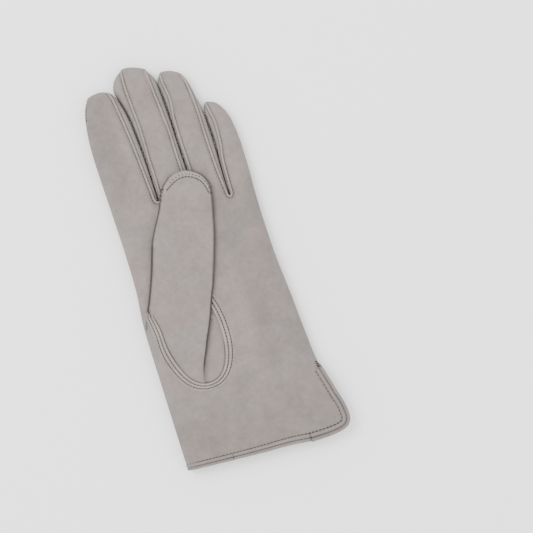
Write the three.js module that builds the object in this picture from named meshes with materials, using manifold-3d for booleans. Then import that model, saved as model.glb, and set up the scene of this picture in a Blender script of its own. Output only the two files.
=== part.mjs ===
// A leather dress glove for the left hand, unlined, lying on its back with the thumb folded over the palm.
// Millimetres. +Z is up, +Y runs from the cuff to the fingertips, and the index finger's side is at -X.
// The trank is the one piece of leather that makes palm, back and finger faces; the fourchettes are the
// side strips between the fingers. While it is modelled, x = 0 is the middle of the knuckles and y = 0 is
// the hem; the last lines move the origin to the middle of the underside.
import * as THREE from "three";
import { mergeVertices } from "three/addons/utils/BufferGeometryUtils.js";
import Module from "manifold-3d";

const wasm = await Module();
wasm.setup();

// Driving dimensions
const leather = 1.2; // thickness of every panel
const seamGap = 0.3; // clearance between two pieces that are sewn together
const palmLength = 163; // hem to the crotches of the fingers, on the palm side
const cuffWidth = 98.3; // across the hem, without the vent's flare
const handHeight = 12.2; // top of the palm above the surface
const cuffHeight = 11; // the same at the hem
const fingerHeight = 11.6; // the same along the fingers
const fingerGap = 0.9; // open width between two fingers
const sideRoll = 7; // how far in from its edge a side goes on curving
const crown = 0.5; // how much a face bulges in its middle
const crotchLean = 16; // how much deeper the crotches reach on the back than on the palm
const crotchRound = 8; // length over which the leather dips into a crotch

// Finger lengths run from the end of palmLength to the tip.
const indexWidth = 29;
const indexLength = 73.3;
const middleWidth = 21.1;
const middleLength = 82.4;
const ringWidth = 19.4;
const ringLength = 73.4;
const littleWidth = 15;
const littleLength = 48.2;
const middleRingCrotch = 1.5; // how much farther from the hem than palmLength this crotch lies
const ringLittleCrotch = 9.5; // how much nearer the hem this one lies
const fingers = [
  { name: "index", width: indexWidth, length: indexLength, crotchAfter: 0 },
  { name: "middle", width: middleWidth, length: middleLength, crotchAfter: middleRingCrotch },
  { name: "ring", width: ringWidth, length: ringLength, crotchAfter: -ringLittleCrotch },
  { name: "little", width: littleWidth, length: littleLength, crotchAfter: 0 },
];

const thumbWidth = 38.4;
const thumbLength = 80.5; // from the fold over the palm to the tip
const thumbHeight = 6.6;
const thumbLean = THREE.MathUtils.degToRad(21.6); // towards the little finger
const thumbFoldShift = 1.5; // how far the fold's middle lies from the hole's, towards the index finger
const thumbholeWidth = 33.8;
const thumbholeLength = 62;
const thumbholeLean = 0.08; // sideways run of the hole's long axis for each millimetre along the hand
const thumbholeX = -20.2; // middle of the hole
const thumbholeY = 81;
const seamBandWidth = 4; // the doubled, twice-stitched edge of leather round the thumb's hole
const seamBandRise = 0.5;

const ventLength = 39; // slit at the little finger's side, from the hem up
const ventFlare = 8.6; // how far the palm's corner swings out beyond the side of the cuff
const ventBackFlare = 1.6; // the same for the back's corner
const ventCorner = 8; // corner radius
const hemDrop = 3; // how much lower the palm's hem runs at the vent than at the folded side

const bindingLeg = 3.6; // how far the binding reaches over the leather
const bindingWall = 0.6;

const pointWidth = 2.6; // ridge between the two stitched grooves of a point on the back
const pointGroove = 0.5; // depth of a groove
const pointGrooveWidth = 1;

// Tables. Lengths are shares of the sizes named beside them.

// along: of palmLength. left, right: of the difference between half the cuff and half the knuckles.
// rise: of the way from cuffHeight to handHeight. lift: of the binding's thickness under the leather.
const handRows = [
  { along: -0.06, left: 0.9, right: 0.9, rise: 0, lift: 1 },
  { along: 0.03, left: 0.92, right: 0.8, rise: 0, lift: 1 },
  { along: 0.075, left: 0.93, right: 0.7, rise: 0.06, lift: 1 },
  { along: 0.13, left: 0.92, right: 0.58, rise: 0.16, lift: 1 },
  { along: 0.24, left: 0.82, right: 0.31, rise: 0.45, lift: 1 },
  { along: 0.37, left: 0.73, right: 0.13, rise: 0.85, lift: 0 },
  { along: 0.49, left: 0.63, right: -0.11, rise: 1, lift: 0 },
  { along: 0.6, left: 0.5, right: -0.3, rise: 1, lift: 0 },
  { along: 0.71, left: 0.18, right: -0.38, rise: 1, lift: 0 },
  { along: 0.8, left: 0.04, right: -0.36, rise: 1, lift: 0 },
  { along: 0.9, left: 0, right: -0.25, rise: 0.98, lift: 0 },
  { along: 1, left: -0.12, right: -0.2, rise: 0.9, lift: 0 },
];

// along: of the finger's length. left, right: of its width, from its middle.
const fingerRows = {
  index: [
    { along: 0, left: -0.5, right: 0.5 },
    { along: 0.504, left: -0.5, right: 0.493 },
    { along: 0.668, left: -0.466, right: 0.462 },
    { along: 0.805, left: -0.397, right: 0.41 },
    { along: 0.886, left: -0.334, right: 0.352 },
    { along: 0.945, left: -0.265, right: 0.285 },
    { along: 0.985, left: -0.16, right: 0.19 },
    { along: 1, left: -0.07, right: 0.1 },
  ],
  middle: [
    { along: 0, left: -0.5, right: 0.5 },
    { along: 0.51, left: -0.519, right: 0.5 },
    { along: 0.7, left: -0.6, right: 0.49 },
    { along: 0.813, left: -0.694, right: 0.448 },
    { along: 0.862, left: -0.727, right: 0.405 },
    { along: 0.91, left: -0.69, right: 0.339 },
    { along: 0.955, left: -0.585, right: 0.24 },
    { along: 0.985, left: -0.45, right: 0.08 },
    { along: 1, left: -0.32, right: -0.06 },
  ],
  ring: [
    { along: 0, left: -0.5, right: 0.459 },
    { along: 0.232, left: -0.5, right: 0.5 },
    { along: 0.504, left: -0.497, right: 0.51 },
    { along: 0.654, left: -0.495, right: 0.479 },
    { along: 0.777, left: -0.5, right: 0.397 },
    { along: 0.872, left: -0.505, right: 0.309 },
    { along: 0.935, left: -0.49, right: 0.21 },
    { along: 0.98, left: -0.42, right: 0.05 },
    { along: 1, left: -0.32, right: -0.08 },
  ],
  little: [
    { along: 0, left: -0.56, right: 0.43 },
    { along: 0.353, left: -0.513, right: 0.5 },
    { along: 0.56, left: -0.5, right: 0.48 },
    { along: 0.726, left: -0.493, right: 0.413 },
    { along: 0.83, left: -0.487, right: 0.29 },
    { along: 0.92, left: -0.467, right: 0.1 },
    { along: 0.975, left: -0.42, right: -0.08 },
    { along: 1, left: -0.36, right: -0.18 },
  ],
};

// How the three gaps between the fingers wander. along: of the middle finger's length.
// index, middle, ring: of fingerGap, at the gap after that finger.
const gapRows = [
  { along: 0, index: 0, middle: 0, ring: -1 },
  { along: 0.22, index: 0, middle: 0, ring: 0 },
  { along: 0.45, index: -0.3, middle: 0, ring: 0.4 },
  { along: 0.63, index: -1.4, middle: 0.2, ring: 0.6 },
  { along: 0.74, index: -2.9, middle: -0.2, ring: 0.6 },
  { along: 0.85, index: -5.4, middle: -1.2, ring: 0.6 },
  { along: 1.1, index: -8, middle: -2, ring: 0.6 },
];

// along: of thumbLength. left, right: of thumbWidth, from its middle line. height: of thumbHeight.
const thumbRows = [
  { along: 0, left: -0.5, right: 0.5, height: 1 },
  { along: 0.2, left: -0.5, right: 0.5, height: 1 },
  { along: 0.38, left: -0.505, right: 0.495, height: 1 },
  { along: 0.54, left: -0.468, right: 0.48, height: 1 },
  { along: 0.67, left: -0.42, right: 0.46, height: 0.98 },
  { along: 0.78, left: -0.4, right: 0.44, height: 0.94 },
  { along: 0.86, left: -0.36, right: 0.41, height: 0.87 },
  { along: 0.92, left: -0.29, right: 0.34, height: 0.76 },
  { along: 0.965, left: -0.205, right: 0.24, height: 0.58 },
  { along: 1, left: -0.1, right: 0.1, height: 0.3 },
];

// The three points on the back, from their finger end to their wrist end.
// x: of half the knuckles' width. y: of palmLength.
const pointRows = [
  { name: "index", fingerX: -0.3, fingerY: 0.81, wristX: 0.04, wristY: 0.4 },
  { name: "middle", fingerX: 0.17, fingerY: 0.86, wristX: 0.26, wristY: 0.4 },
  { name: "ring", fingerX: 0.65, fingerY: 0.77, wristX: 0.52, wristY: 0.4 },
];

// Values that follow from the dimensions
const knuckleWidth =
  fingers.reduce((sum, finger) => sum + finger.width, 0) + fingerGap * (fingers.length - 1);
const bindingUnder = seamGap + bindingWall;
const palmTop = handHeight + crown;
const arcSteps = 6;
const faceSteps = { hand: 6, finger: 3 };
const farAway = 400; // reaches past the whole glove when something is cut off

// A smooth curve through the rows of a table that never swings past them.
function sample(rows, column, at) {
  const last = rows.length - 1;
  if (at <= rows[0].along) return rows[0][column];
  if (at >= rows[last].along) return rows[last][column];
  const i = rows.findIndex((row) => row.along > at) - 1;
  const slope = (k) =>
    (rows[k + 1][column] - rows[k][column]) / (rows[k + 1].along - rows[k].along);
  const tangent = (k) => {
    if (k === 0 || k === last) return slope(Math.min(k, last - 1));
    const [before, after] = [slope(k - 1), slope(k)];
    return before * after <= 0 ? 0 : (2 * before * after) / (before + after);
  };
  const step = rows[i + 1].along - rows[i].along;
  const t = (at - rows[i].along) / step;
  const h = t * t * (3 - 2 * t);
  return (
    rows[i][column] * (1 - h) +
    rows[i + 1][column] * h +
    step * (tangent(i) * t * (1 - t) ** 2 - tangent(i + 1) * t * t * (1 - t))
  );
}

const ramp = (from, to, at) => THREE.MathUtils.smoothstep(at, from, to);

// Solids

function solidFrom(vertices, triangles) {
  return new wasm.Manifold(
    new wasm.Mesh({
      numProp: 3,
      vertProperties: Float32Array.from(vertices.flat()),
      triVerts: Uint32Array.from(triangles.flat()),
    }),
  );
}

// A closed body through rings of equally many points. It is turned right way out if need be.
function loft(rings) {
  const count = rings[0].length;
  const middle = (ring) =>
    [0, 1, 2].map((axis) => ring.reduce((sum, p) => sum + p[axis], 0) / count);
  const vertices = [...rings.flat(), middle(rings[0]), middle(rings.at(-1))];
  const [startCap, endCap] = [vertices.length - 2, vertices.length - 1];
  const endRing = (rings.length - 1) * count;
  const triangles = [];
  for (let i = 0; i < count; i++) {
    const j = (i + 1) % count;
    for (let r = 0; r < endRing; r += count) {
      triangles.push([r + i, r + j, r + count + j], [r + i, r + count + j, r + count + i]);
    }
    triangles.push([startCap, j, i], [endCap, endRing + i, endRing + j]);
  }
  const made = solidFrom(vertices, triangles);
  return made.volume() > 0 ? made : solidFrom(vertices, triangles.map(([a, b, c]) => [a, c, b]));
}

// A plan outline of [x, y] points, raised from one height to another.
function prism(outline, low, high) {
  const shape = new THREE.Shape(outline.map(([x, y]) => new THREE.Vector2(x, y)));
  const raised = new THREE.ExtrudeGeometry(shape, { depth: high - low, bevelEnabled: false });
  raised.deleteAttribute("normal");
  raised.deleteAttribute("uv");
  raised.translate(0, 0, low);
  const merged = mergeVertices(raised, 1e-4);
  return new wasm.Manifold(
    new wasm.Mesh({
      numProp: 3,
      vertProperties: merged.attributes.position.array,
      triVerts: Uint32Array.from(merged.index.array),
    }),
  );
}

// One ring of a flattened tube: flat below, crowned above, with round sides.
function tubeRing({ left, right, low, high, bulge, roll }, steps, place) {
  const middle = (low + high) / 2;
  const half = (high - low) / 2;
  const turn = Math.min(roll, (right - left) * 0.42);
  const ring = [];
  for (let i = 0; i <= arcSteps; i++) {
    const angle = Math.PI * (i / arcSteps - 0.5);
    ring.push([right - turn + turn * Math.cos(angle), middle + half * Math.sin(angle)]);
  }
  for (let i = 1; i < steps; i++) {
    const x = THREE.MathUtils.lerp(right - turn, left + turn, i / steps);
    ring.push([x, high + bulge * Math.sin((Math.PI * i) / steps)]);
  }
  for (let i = 0; i <= arcSteps; i++) {
    const angle = Math.PI * (0.5 + i / arcSteps);
    ring.push([left + turn + turn * Math.cos(angle), middle + half * Math.sin(angle)]);
  }
  const underSteps = Math.ceil(steps / 2);
  for (let i = 1; i < underSteps; i++) {
    ring.push([THREE.MathUtils.lerp(left + turn, right - turn, i / underSteps), low]);
  }
  return ring.map(([x, z]) => place(x, z));
}

// The same section, taken in all round
function takeIn(section, inset) {
  return {
    left: section.left + inset,
    right: section.right - inset,
    low: section.low + inset,
    high: section.high - inset,
    bulge: section.bulge,
    roll: section.roll - inset,
  };
}

// Fingers

fingers.forEach((finger, i) => {
  const before = fingers.slice(0, i).reduce((sum, f) => sum + f.width + fingerGap, 0);
  finger.middle = before + finger.width / 2 - knuckleWidth / 2;
  finger.gapAfter = finger.middle + (finger.width + fingerGap) / 2;
  finger.previous = fingers[i - 1];
  finger.hasNext = i < fingers.length - 1;
});
const longest = Math.max(...fingers.map((finger) => finger.length));

const gapAt = (finger, y) =>
  finger.gapAfter + fingerGap * sample(gapRows, finger.name, (y - palmLength) / longest);

function fingerSection(finger, y) {
  const along = (y - palmLength) / finger.length;
  const rows = fingerRows[finger.name];
  const base = ramp(-0.5, -0.1, along);
  const tuckIn = (1 - base) * seamGap * 2;
  let left = finger.middle + finger.width * sample(rows, "left", along) + tuckIn;
  let right = finger.middle + finger.width * sample(rows, "right", along) - tuckIn;
  if (finger.previous) left = Math.max(left, gapAt(finger.previous, y) + fingerGap / 2);
  if (finger.hasNext) right = Math.min(right, gapAt(finger, y) - fingerGap / 2);
  const tipRound = fingerHeight * 0.8;
  const fromTip = Math.min(1, (palmLength + finger.length - y) / tipRound);
  const fullness = Math.max(0.36, Math.sqrt(1 - (1 - fromTip) ** 2)) * (0.93 + 0.07 * base);
  const half = (fingerHeight / 2) * fullness;
  const middle = fingerHeight / 2 - ((1 - base) * tuckIn) / 2;
  return {
    left,
    right,
    low: Math.max(0, middle - half) + tuckIn / 4,
    high: middle + half,
    bulge: crown * fullness,
    roll: sideRoll * 0.93,
  };
}

const fingerStations = [-0.5, -0.3, -0.1, 0.15, 0.42, 0.64, 0.78, 0.87, 0.93, 0.968, 0.99, 1];

function fingerLoft(finger, inset) {
  const rings = fingerStations.map((along) => {
    const y = palmLength + finger.length * along;
    const section = takeIn(fingerSection(finger, y), inset);
    const endWall = inset * ramp(0.6, 1, along);
    return tubeRing(section, faceSteps.finger, (x, z) => [x, y - endWall, z]);
  });
  return loft(rings);
}

// Hand and cuff

// The crotches lie at different places along the hand, and each reaches deeper on the back.
function crotchShift(x, y, z) {
  const stops = fingers.filter((finger) => finger.hasNext);
  const rows = stops.map((finger) => ({ along: finger.gapAfter, shift: finger.crotchAfter }));
  const share = ramp(0.72, 1, y / palmLength);
  return share * (sample(rows, "shift", x) - crotchLean * (1 - z / handHeight));
}

function handEdge(side, y) {
  const half = knuckleWidth / 2;
  return half + (cuffWidth / 2 - half) * sample(handRows, side, y / palmLength);
}

// Outlines of the free edges at the vent
const ventBottom = (side) => (side === "palm" ? -hemDrop : 0);
const ventEdge = (side, y) => {
  const flare = side === "palm" ? ventFlare : ventBackFlare;
  const down = THREE.MathUtils.clamp(1 - y / ventLength, 0, 1);
  return handEdge("right", ventLength) + seamGap + flare * (0.55 * down + 0.45 * down ** 2);
};
const hemAt = (side, x) => {
  const across = THREE.MathUtils.clamp(0.5 + x / cuffWidth, 0, 1);
  const low = side === "palm" ? ventBottom(side) : 1.2;
  return THREE.MathUtils.lerp(hemDrop + 0.6, low, across ** 0.8);
};

function handSection(y) {
  const along = y / palmLength;
  const fromEnd = THREE.MathUtils.clamp((palmLength - y) / crotchRound, 0, 1);
  const fullness = 0.68 + 0.32 * Math.sqrt(1 - (1 - fromEnd) ** 2);
  const top = THREE.MathUtils.lerp(cuffHeight, handHeight, sample(handRows, "rise", along));
  const low = bindingUnder * sample(handRows, "lift", along);
  const half = ((top - low) / 2) * fullness;
  const middle = (top + low) / 2;
  // Below the vent's top the section is drawn wider than both free edges, which are cut out of it.
  const open = Math.sqrt(THREE.MathUtils.clamp(1 - y / ventLength, 0, 1));
  const spread = ventEdge("palm", y) + leather + sideRoll * Math.min(1, 1.4 * open);
  return {
    left: -handEdge("left", y),
    right: y < ventLength ? spread : handEdge("right", y),
    low: middle - half,
    high: middle + half,
    bulge: crown * fullness,
    roll: sideRoll,
  };
}

const ventTop = ventLength / palmLength;
const handStations = [
  ...[-0.3, 0.1, 0.35, 0.6, 0.8, 0.91, 0.97, 0.999].map((share) => share * ventTop),
  ...[1.001, 1.15, 1.5].map((share) => share * ventTop),
  ...[0.5, 0.62, 0.74, 0.86, 0.93, 0.96, 0.98, 1],
];

function handLoft(inset) {
  const rings = handStations.map((along) => {
    const y = palmLength * along;
    const section = takeIn(handSection(y), inset);
    const endWall = inset * ramp(0.85, 1, along);
    const openEnd = inset > 0 && along < 0 ? leather : 0;
    return tubeRing(section, faceSteps.hand, (x, z) => [
      x,
      y + crotchShift(x, y, z) - endWall - openEnd,
      z,
    ]);
  });
  return loft(rings);
}

// Height of the palm's outside, and of the back's outside, at a place in plan
function faceHeight(side, x, y) {
  const { left, right, low, high, bulge, roll } = handSection(y);
  const inFromEdge = Math.min(x - left, right - x);
  const middle = (low + high) / 2;
  const half = (high - low) / 2;
  const curve = Math.sqrt(Math.max(0, 1 - (1 - Math.min(1, inFromEdge / roll)) ** 2));
  if (side === "back") return middle - half * curve;
  const across = THREE.MathUtils.clamp((x - left - roll) / (right - left - 2 * roll), 0, 1);
  return middle + half * curve + bulge * Math.sin(Math.PI * across);
}

// The free edge of one side, from the folded side along the hem, round the corner and up the vent
function freeEdge(side, steps = 10) {
  const cornerX = ventEdge(side, 0) - 1;
  const path = [];
  for (let i = 0; i <= steps; i++) {
    const x = THREE.MathUtils.lerp(-cuffWidth / 2, cornerX - ventCorner, i / steps);
    path.push([x, hemAt(side, x)]);
  }
  const cornerY = hemAt(side, cornerX - ventCorner);
  for (let i = 1; i <= 5; i++) {
    const angle = (Math.PI / 2) * (i / 6);
    const reach = ventEdge(side, cornerY + ventCorner) - (cornerX - ventCorner);
    path.push([
      cornerX - ventCorner + reach * Math.sin(angle),
      cornerY + ventCorner * (1 - Math.cos(angle)),
    ]);
  }
  for (let i = 0; i <= 6; i++) {
    const y = THREE.MathUtils.lerp(cornerY + ventCorner, ventLength, i / 6);
    path.push([ventEdge(side, y), y]);
  }
  return path;
}

// All that lies beyond a line which runs inside the free edges of palm and back by some margin, or outside
// them where the margin is negative. Up the vent it reaches to top.
function beyondEdges(margin, top = ventLength) {
  const split = cuffHeight * 0.55;
  const overlap = 0.05; // so that the two cuts leave no sheet between them
  return ["palm", "back"].map((side) => {
    const path = freeEdge(side).map(([x, y]) => new THREE.Vector2(x, y));
    const moved = path.map((p, i) => {
      const before = path[Math.max(0, i - 1)];
      const after = path[Math.min(path.length - 1, i + 1)];
      const along = after.clone().sub(before).normalize();
      return [p.x - along.y * margin, p.y + along.x * margin];
    });
    const outline = [
      [-farAway, moved[0][1]],
      ...moved.filter(([, y]) => y < top - 0.5),
      [moved.at(-1)[0], top],
      [farAway, top],
      [farAway, -farAway],
      [-farAway, -farAway],
    ];
    return side === "palm"
      ? prism(outline, split - overlap, farAway)
      : prism(outline, -farAway, split + overlap);
  });
}

// Thumb

const acrossThumb = new THREE.Vector2(Math.cos(thumbLean), -Math.sin(thumbLean));
const alongThumb = new THREE.Vector2(Math.sin(thumbLean), Math.cos(thumbLean));
// Where the thumb folds over: above the hole, a little nearer the fingers than its middle
const thumbFold = new THREE.Vector2(thumbholeX - thumbFoldShift, thumbholeY + thumbholeLength * 0.3);
const thumbUnder = palmTop + seamBandRise + seamGap;
const thumbPoints = 24;
const holeSteps = 36;

// A point on the hole's outline, out from it by some margin. Angle 0 is the little finger's side.
function thumbholePoint(angle, margin) {
  const y = (thumbholeLength / 2 + margin) * Math.sin(angle);
  const x = (thumbholeWidth / 2 + margin) * Math.cos(angle);
  return [thumbholeX + x - thumbholeLean * y, thumbholeY + y];
}

function thumbRing(along, inset) {
  const y = along * thumbLength;
  const left = thumbWidth * sample(thumbRows, "left", along) + inset;
  const right = thumbWidth * sample(thumbRows, "right", along) - inset;
  const half = (thumbHeight / 2) * sample(thumbRows, "height", along) - inset;
  const middleZ = thumbUnder + thumbHeight / 2 - 0.1 * thumbHeight * (1 - sample(thumbRows, "height", along));
  const endWall = inset * ramp(0.8, 1, along);
  return Array.from({ length: thumbPoints }, (_, i) => {
    const angle = (2 * Math.PI * i) / thumbPoints;
    const [c, s] = [Math.cos(angle), Math.sin(angle)];
    const across = (left + right) / 2 + ((right - left) / 2) * Math.sign(c) * Math.abs(c) ** 0.85;
    const plan = thumbFold
      .clone()
      .addScaledVector(acrossThumb, across)
      .addScaledVector(alongThumb, y - endWall);
    return [plan.x, plan.y, middleZ + half * Math.sign(s) * Math.abs(s) ** 0.8];
  });
}

// From the hole to the fold, each point of the thumb's leather follows a bent line. Its top comes from the
// wrist end of the hole; on the little finger's side it is drawn in, which makes the thumb's long crease.
function thumbBase(inset) {
  const end = thumbRing(0, inset);
  const foldIn = 8;
  const puff = 3.4;
  const start = (z) =>
    end.map((_, i) => {
      const angle = (2 * Math.PI * i) / thumbPoints;
      return [...thumbholePoint(-angle, -seamGap - inset), z];
    });
  const top = palmTop + 0.2;
  const foot = start(top);
  const bends = end.map((p, i) => {
    const angle = (2 * Math.PI * i) / thumbPoints;
    const [c, s] = [Math.max(0, Math.cos(angle)), Math.max(0, Math.sin(angle))];
    const half = p.map((value, axis) => (value + foot[i][axis]) / 2);
    return [half[0] - foldIn * c, half[1] - foldIn * 0.4 * c, half[2] + puff * s];
  });
  const rings = [0.12, 0.26, 0.4, 0.55, 0.7, 0.85].map((t) =>
    end.map((p, i) =>
      p.map((value, axis) => foot[i][axis] * (1 - t) ** 2 + 2 * bends[i][axis] * t * (1 - t) + value * t * t),
    ),
  );
  const below = handHeight - leather - (inset ? 2 * leather : 0);
  return [start(below), foot, ...rings];
}

function thumbSolid() {
  const stations = [0, 0.12, 0.27, 0.42, 0.56, 0.68, 0.78, 0.86, 0.92, 0.965, 1];
  const body = (inset) => loft([...thumbBase(inset), ...stations.map((along) => thumbRing(along, inset))]);
  return body(0).subtract(body(leather));
}

// The raised band of doubled leather round the thumb's hole
function thumbSeamBand() {
  const margins = [0, seamBandWidth * 0.12, seamBandWidth * 0.85, seamBandWidth];
  const rises = [-leather * 0.6, seamBandRise, seamBandRise, -leather * 0.6];
  const vertices = [];
  const triangles = [];
  for (let i = 0; i < holeSteps; i++) {
    const angle = (2 * Math.PI * i) / holeSteps;
    margins.forEach((margin, k) => {
      const [x, y] = thumbholePoint(angle, margin);
      vertices.push([x, y, faceHeight("palm", x, y) + rises[k]]);
    });
    for (let k = 0; k < 4; k++) {
      const next = ((i + 1) % holeSteps) * 4;
      const [a, b] = [i * 4 + k, i * 4 + ((k + 1) % 4)];
      const [c, d] = [next + k, next + ((k + 1) % 4)];
      triangles.push([a, b, d], [a, d, c]);
    }
  }
  const made = solidFrom(vertices, triangles);
  return made.volume() > 0 ? made : solidFrom(vertices, triangles.map(([a, b, c]) => [a, c, b]));
}

// Fourchettes: what lies between two fingers, seen from the axes of their round sides
function fourchetteZone(finger, ease) {
  const middle = fingerHeight / 2;
  const reach = sideRoll * 0.93 + fingerGap / 2 - ease * 1.5;
  const height = reach * Math.tan(THREE.MathUtils.degToRad(50));
  const crotch = palmLength + finger.crotchAfter - seamBandWidth / 2;
  const rings = [0, 0.12, 0.3, 0.5, 0.7, 0.85, 1.1].map((share) => {
    const y = THREE.MathUtils.lerp(crotch + ease, palmLength + longest, share);
    const x = gapAt(finger, y);
    const lean = share === 0 ? crotchLean / handHeight : 0;
    return [
      [x - reach, middle],
      [x, middle + height],
      [x + reach, middle],
      [x, middle - height],
    ].map(([cornerX, z]) => [cornerX, y - lean * (handHeight - z), z]);
  });
  return loft(rings);
}

// Points: two stitched grooves with the ridge of leather between them, on the back
function pointGrooves(row) {
  const half = knuckleWidth / 2;
  const from = new THREE.Vector2(row.fingerX * half, row.fingerY * palmLength);
  const to = new THREE.Vector2(row.wristX * half, row.wristY * palmLength);
  const along = to.clone().sub(from).normalize();
  const side = new THREE.Vector2(-along.y, along.x);
  return [-1, 1].map((hand) => {
    const corner = (end, across, z) => {
      const plan = end.clone().addScaledVector(side, hand * (pointWidth / 2) + across);
      return [plan.x, plan.y, z];
    };
    const ring = (end) => [
      corner(end, -pointGrooveWidth / 2, -pointGroove),
      corner(end, pointGrooveWidth / 2, -pointGroove),
      corner(end, 0, pointGroove),
    ];
    return loft([ring(from), ring(to)]);
  });
}

// Trank

const join = (solids) => solids.reduce((all, one) => all.add(one));
const cutAll = (body, cuts) => cuts.reduce((left, cut) => left.subtract(cut), body);
const gloveLoft = (inset) => join([handLoft(inset), ...fingers.map((finger) => fingerLoft(finger, inset))]);
const shell = gloveLoft(0).subtract(gloveLoft(leather));
const gaps = fingers.filter((finger) => finger.hasNext);

const thumbholeOutline = Array.from({ length: holeSteps }, (_, i) =>
  thumbholePoint((2 * Math.PI * i) / holeSteps, 0),
);
const trank = cutAll(shell.add(thumbSeamBand()), [
  ...beyondEdges(0),
  ...gaps.map((finger) => fourchetteZone(finger, -seamGap / 2)),
  prism(thumbholeOutline, handHeight * 0.6, farAway),
  ...pointRows.flatMap(pointGrooves),
]);

// Binding: a strip folded over the free edges. It is what a thicker shell has more than the leather, from a
// line inside the free edges to one just outside them.
function bindingSolid() {
  const grown = bindingUnder;
  const thick = handLoft(-grown).subtract(handLoft(leather + grown));
  const sewnIn = handLoft(-seamGap).subtract(handLoft(leather + seamGap));
  const strip = cutAll(thick, beyondEdges(-grown));
  const under = cutAll(sewnIn, beyondEdges(-seamGap));
  const kept = join(beyondEdges(bindingLeg, ventLength - bindingLeg / 2));
  return strip.subtract(under).intersect(kept);
}

// The model

const suede = new THREE.MeshStandardMaterial({ color: 0xafaaa6, roughness: 0.95, metalness: 0 });
const suedeSides = new THREE.MeshStandardMaterial({ color: 0xa29d99, roughness: 0.95, metalness: 0 });
const suedeBinding = new THREE.MeshStandardMaterial({ color: 0xb4afab, roughness: 0.9, metalness: 0 });

const glove = new THREE.Group();

// The triangles of the largest body, without the crumbs that a cut can leave beside it
function largestBody({ triVerts, numVert }) {
  const parent = Array.from({ length: numVert }, (_, i) => i);
  const find = (v) => {
    let top = v;
    while (parent[top] !== top) top = parent[top];
    parent[v] = top;
    return top;
  };
  for (let i = 0; i < triVerts.length; i += 3) {
    parent[find(triVerts[i + 1])] = find(triVerts[i]);
    parent[find(triVerts[i + 2])] = find(triVerts[i]);
  }
  const sizes = new Map();
  triVerts.forEach((v) => sizes.set(find(v), (sizes.get(find(v)) ?? 0) + 1));
  const largest = [...sizes].reduce((best, one) => (one[1] > best[1] ? one : best))[0];
  return triVerts.filter((v) => find(v) === largest);
}

function addPiece(name, solid, material) {
  const made = solid.getMesh();
  const geometry = new THREE.BufferGeometry();
  const positions = new Float32Array(made.numVert * 3);
  for (let i = 0; i < made.numVert; i++) {
    positions.set(made.vertProperties.subarray(i * made.numProp, i * made.numProp + 3), i * 3);
  }
  geometry.setAttribute("position", new THREE.BufferAttribute(positions, 3));
  geometry.setIndex(new THREE.BufferAttribute(largestBody(made), 1));
  geometry.computeVertexNormals();
  const mesh = new THREE.Mesh(geometry, material);
  mesh.name = name;
  glove.add(mesh);
}

addPiece("trank", trank, suede);
gaps.forEach((finger, i) => {
  const strip = shell.intersect(fourchetteZone(finger, seamGap / 2));
  addPiece(`fourchette_${finger.name}_${fingers[i + 1].name}`, strip, suedeSides);
});
addPiece("thumb", thumbSolid(), suede);
addPiece("cuff_binding", bindingSolid(), suedeBinding);

const box = new THREE.Box3().setFromObject(glove);
const centre = box.getCenter(new THREE.Vector3());
glove.position.set(-centre.x, -centre.y, -box.min.z);

export default glove;
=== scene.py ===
import math
import bpy
import numpy as np
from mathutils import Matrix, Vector


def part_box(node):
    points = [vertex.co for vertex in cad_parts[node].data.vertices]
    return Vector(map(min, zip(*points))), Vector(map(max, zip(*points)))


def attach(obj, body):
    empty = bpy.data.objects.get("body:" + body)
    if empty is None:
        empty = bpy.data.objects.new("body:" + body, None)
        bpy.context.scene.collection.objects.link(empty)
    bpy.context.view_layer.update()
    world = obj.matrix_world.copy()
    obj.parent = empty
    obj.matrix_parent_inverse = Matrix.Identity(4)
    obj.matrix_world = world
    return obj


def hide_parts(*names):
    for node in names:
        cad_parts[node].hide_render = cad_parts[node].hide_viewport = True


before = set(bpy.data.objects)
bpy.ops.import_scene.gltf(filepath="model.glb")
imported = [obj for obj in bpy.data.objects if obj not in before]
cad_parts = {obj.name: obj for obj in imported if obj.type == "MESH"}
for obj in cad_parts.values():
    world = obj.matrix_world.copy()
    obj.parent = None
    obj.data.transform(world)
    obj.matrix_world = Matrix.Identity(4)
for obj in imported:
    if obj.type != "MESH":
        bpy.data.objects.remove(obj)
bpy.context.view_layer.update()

# Plan coordinates are millimetres: x from the middle of the hem towards the little finger, y from the hem
# towards the fingertips. ORIGIN moves them into the frame, by the trank's folded side and longest finger.
FOLDED_SIDE = -47.3
LONGEST_TIP = 245.4
trank_low, trank_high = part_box("trank")
ORIGIN = np.array([trank_low.x * 1000 - FOLDED_SIDE, trank_high.y * 1000 - LONGEST_TIP, 0.0])

# Heights above the surface that the glove lies on
MID = 5.9  # of the folded sides and of the fingertips
PALM_RISE = 6.4  # palm above MID
CUFF_RISE = 5.1
FINGER_RISE = 5.8
SEAM_RISE = 4.0  # raw edges of the fingers' seams
SKIN = 0.8  # leather
LIP = 1.75  # from a seam's raw edge to its stitches
TIP_ROLL = 6.0
SIDE_ROLL = 7.5
VENT_TOP = 39.0
rng = np.random.default_rng(7)


# Curves


def smooth(a, b, v):
    """From 0 at a to 1 at b, eased at both ends."""
    t = np.clip((np.asarray(v, float) - a) / (b - a), 0, 1)
    return t * t * (3 - 2 * t)


def mix(a, b, t):
    return a + (b - a) * t


def lengths(line):
    """Distance along a line to each of its points."""
    return np.concatenate([[0], np.cumsum(np.linalg.norm(np.diff(line, axis=0), axis=1))])


def sample(values, run, at):
    """Rows of values that belong to places along a run, read at other places."""
    return np.stack([np.interp(at, run, values[:, k]) for k in range(values.shape[1])], 1)


def resample(line, at):
    return sample(line, lengths(line), at)


def at_shares(line, shares):
    return resample(line, np.asarray(shares) * lengths(line)[-1])


def raised(plan, z):
    """Plan points with their heights."""
    return np.concatenate([plan, np.asarray(z)[..., None]], -1)


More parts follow.
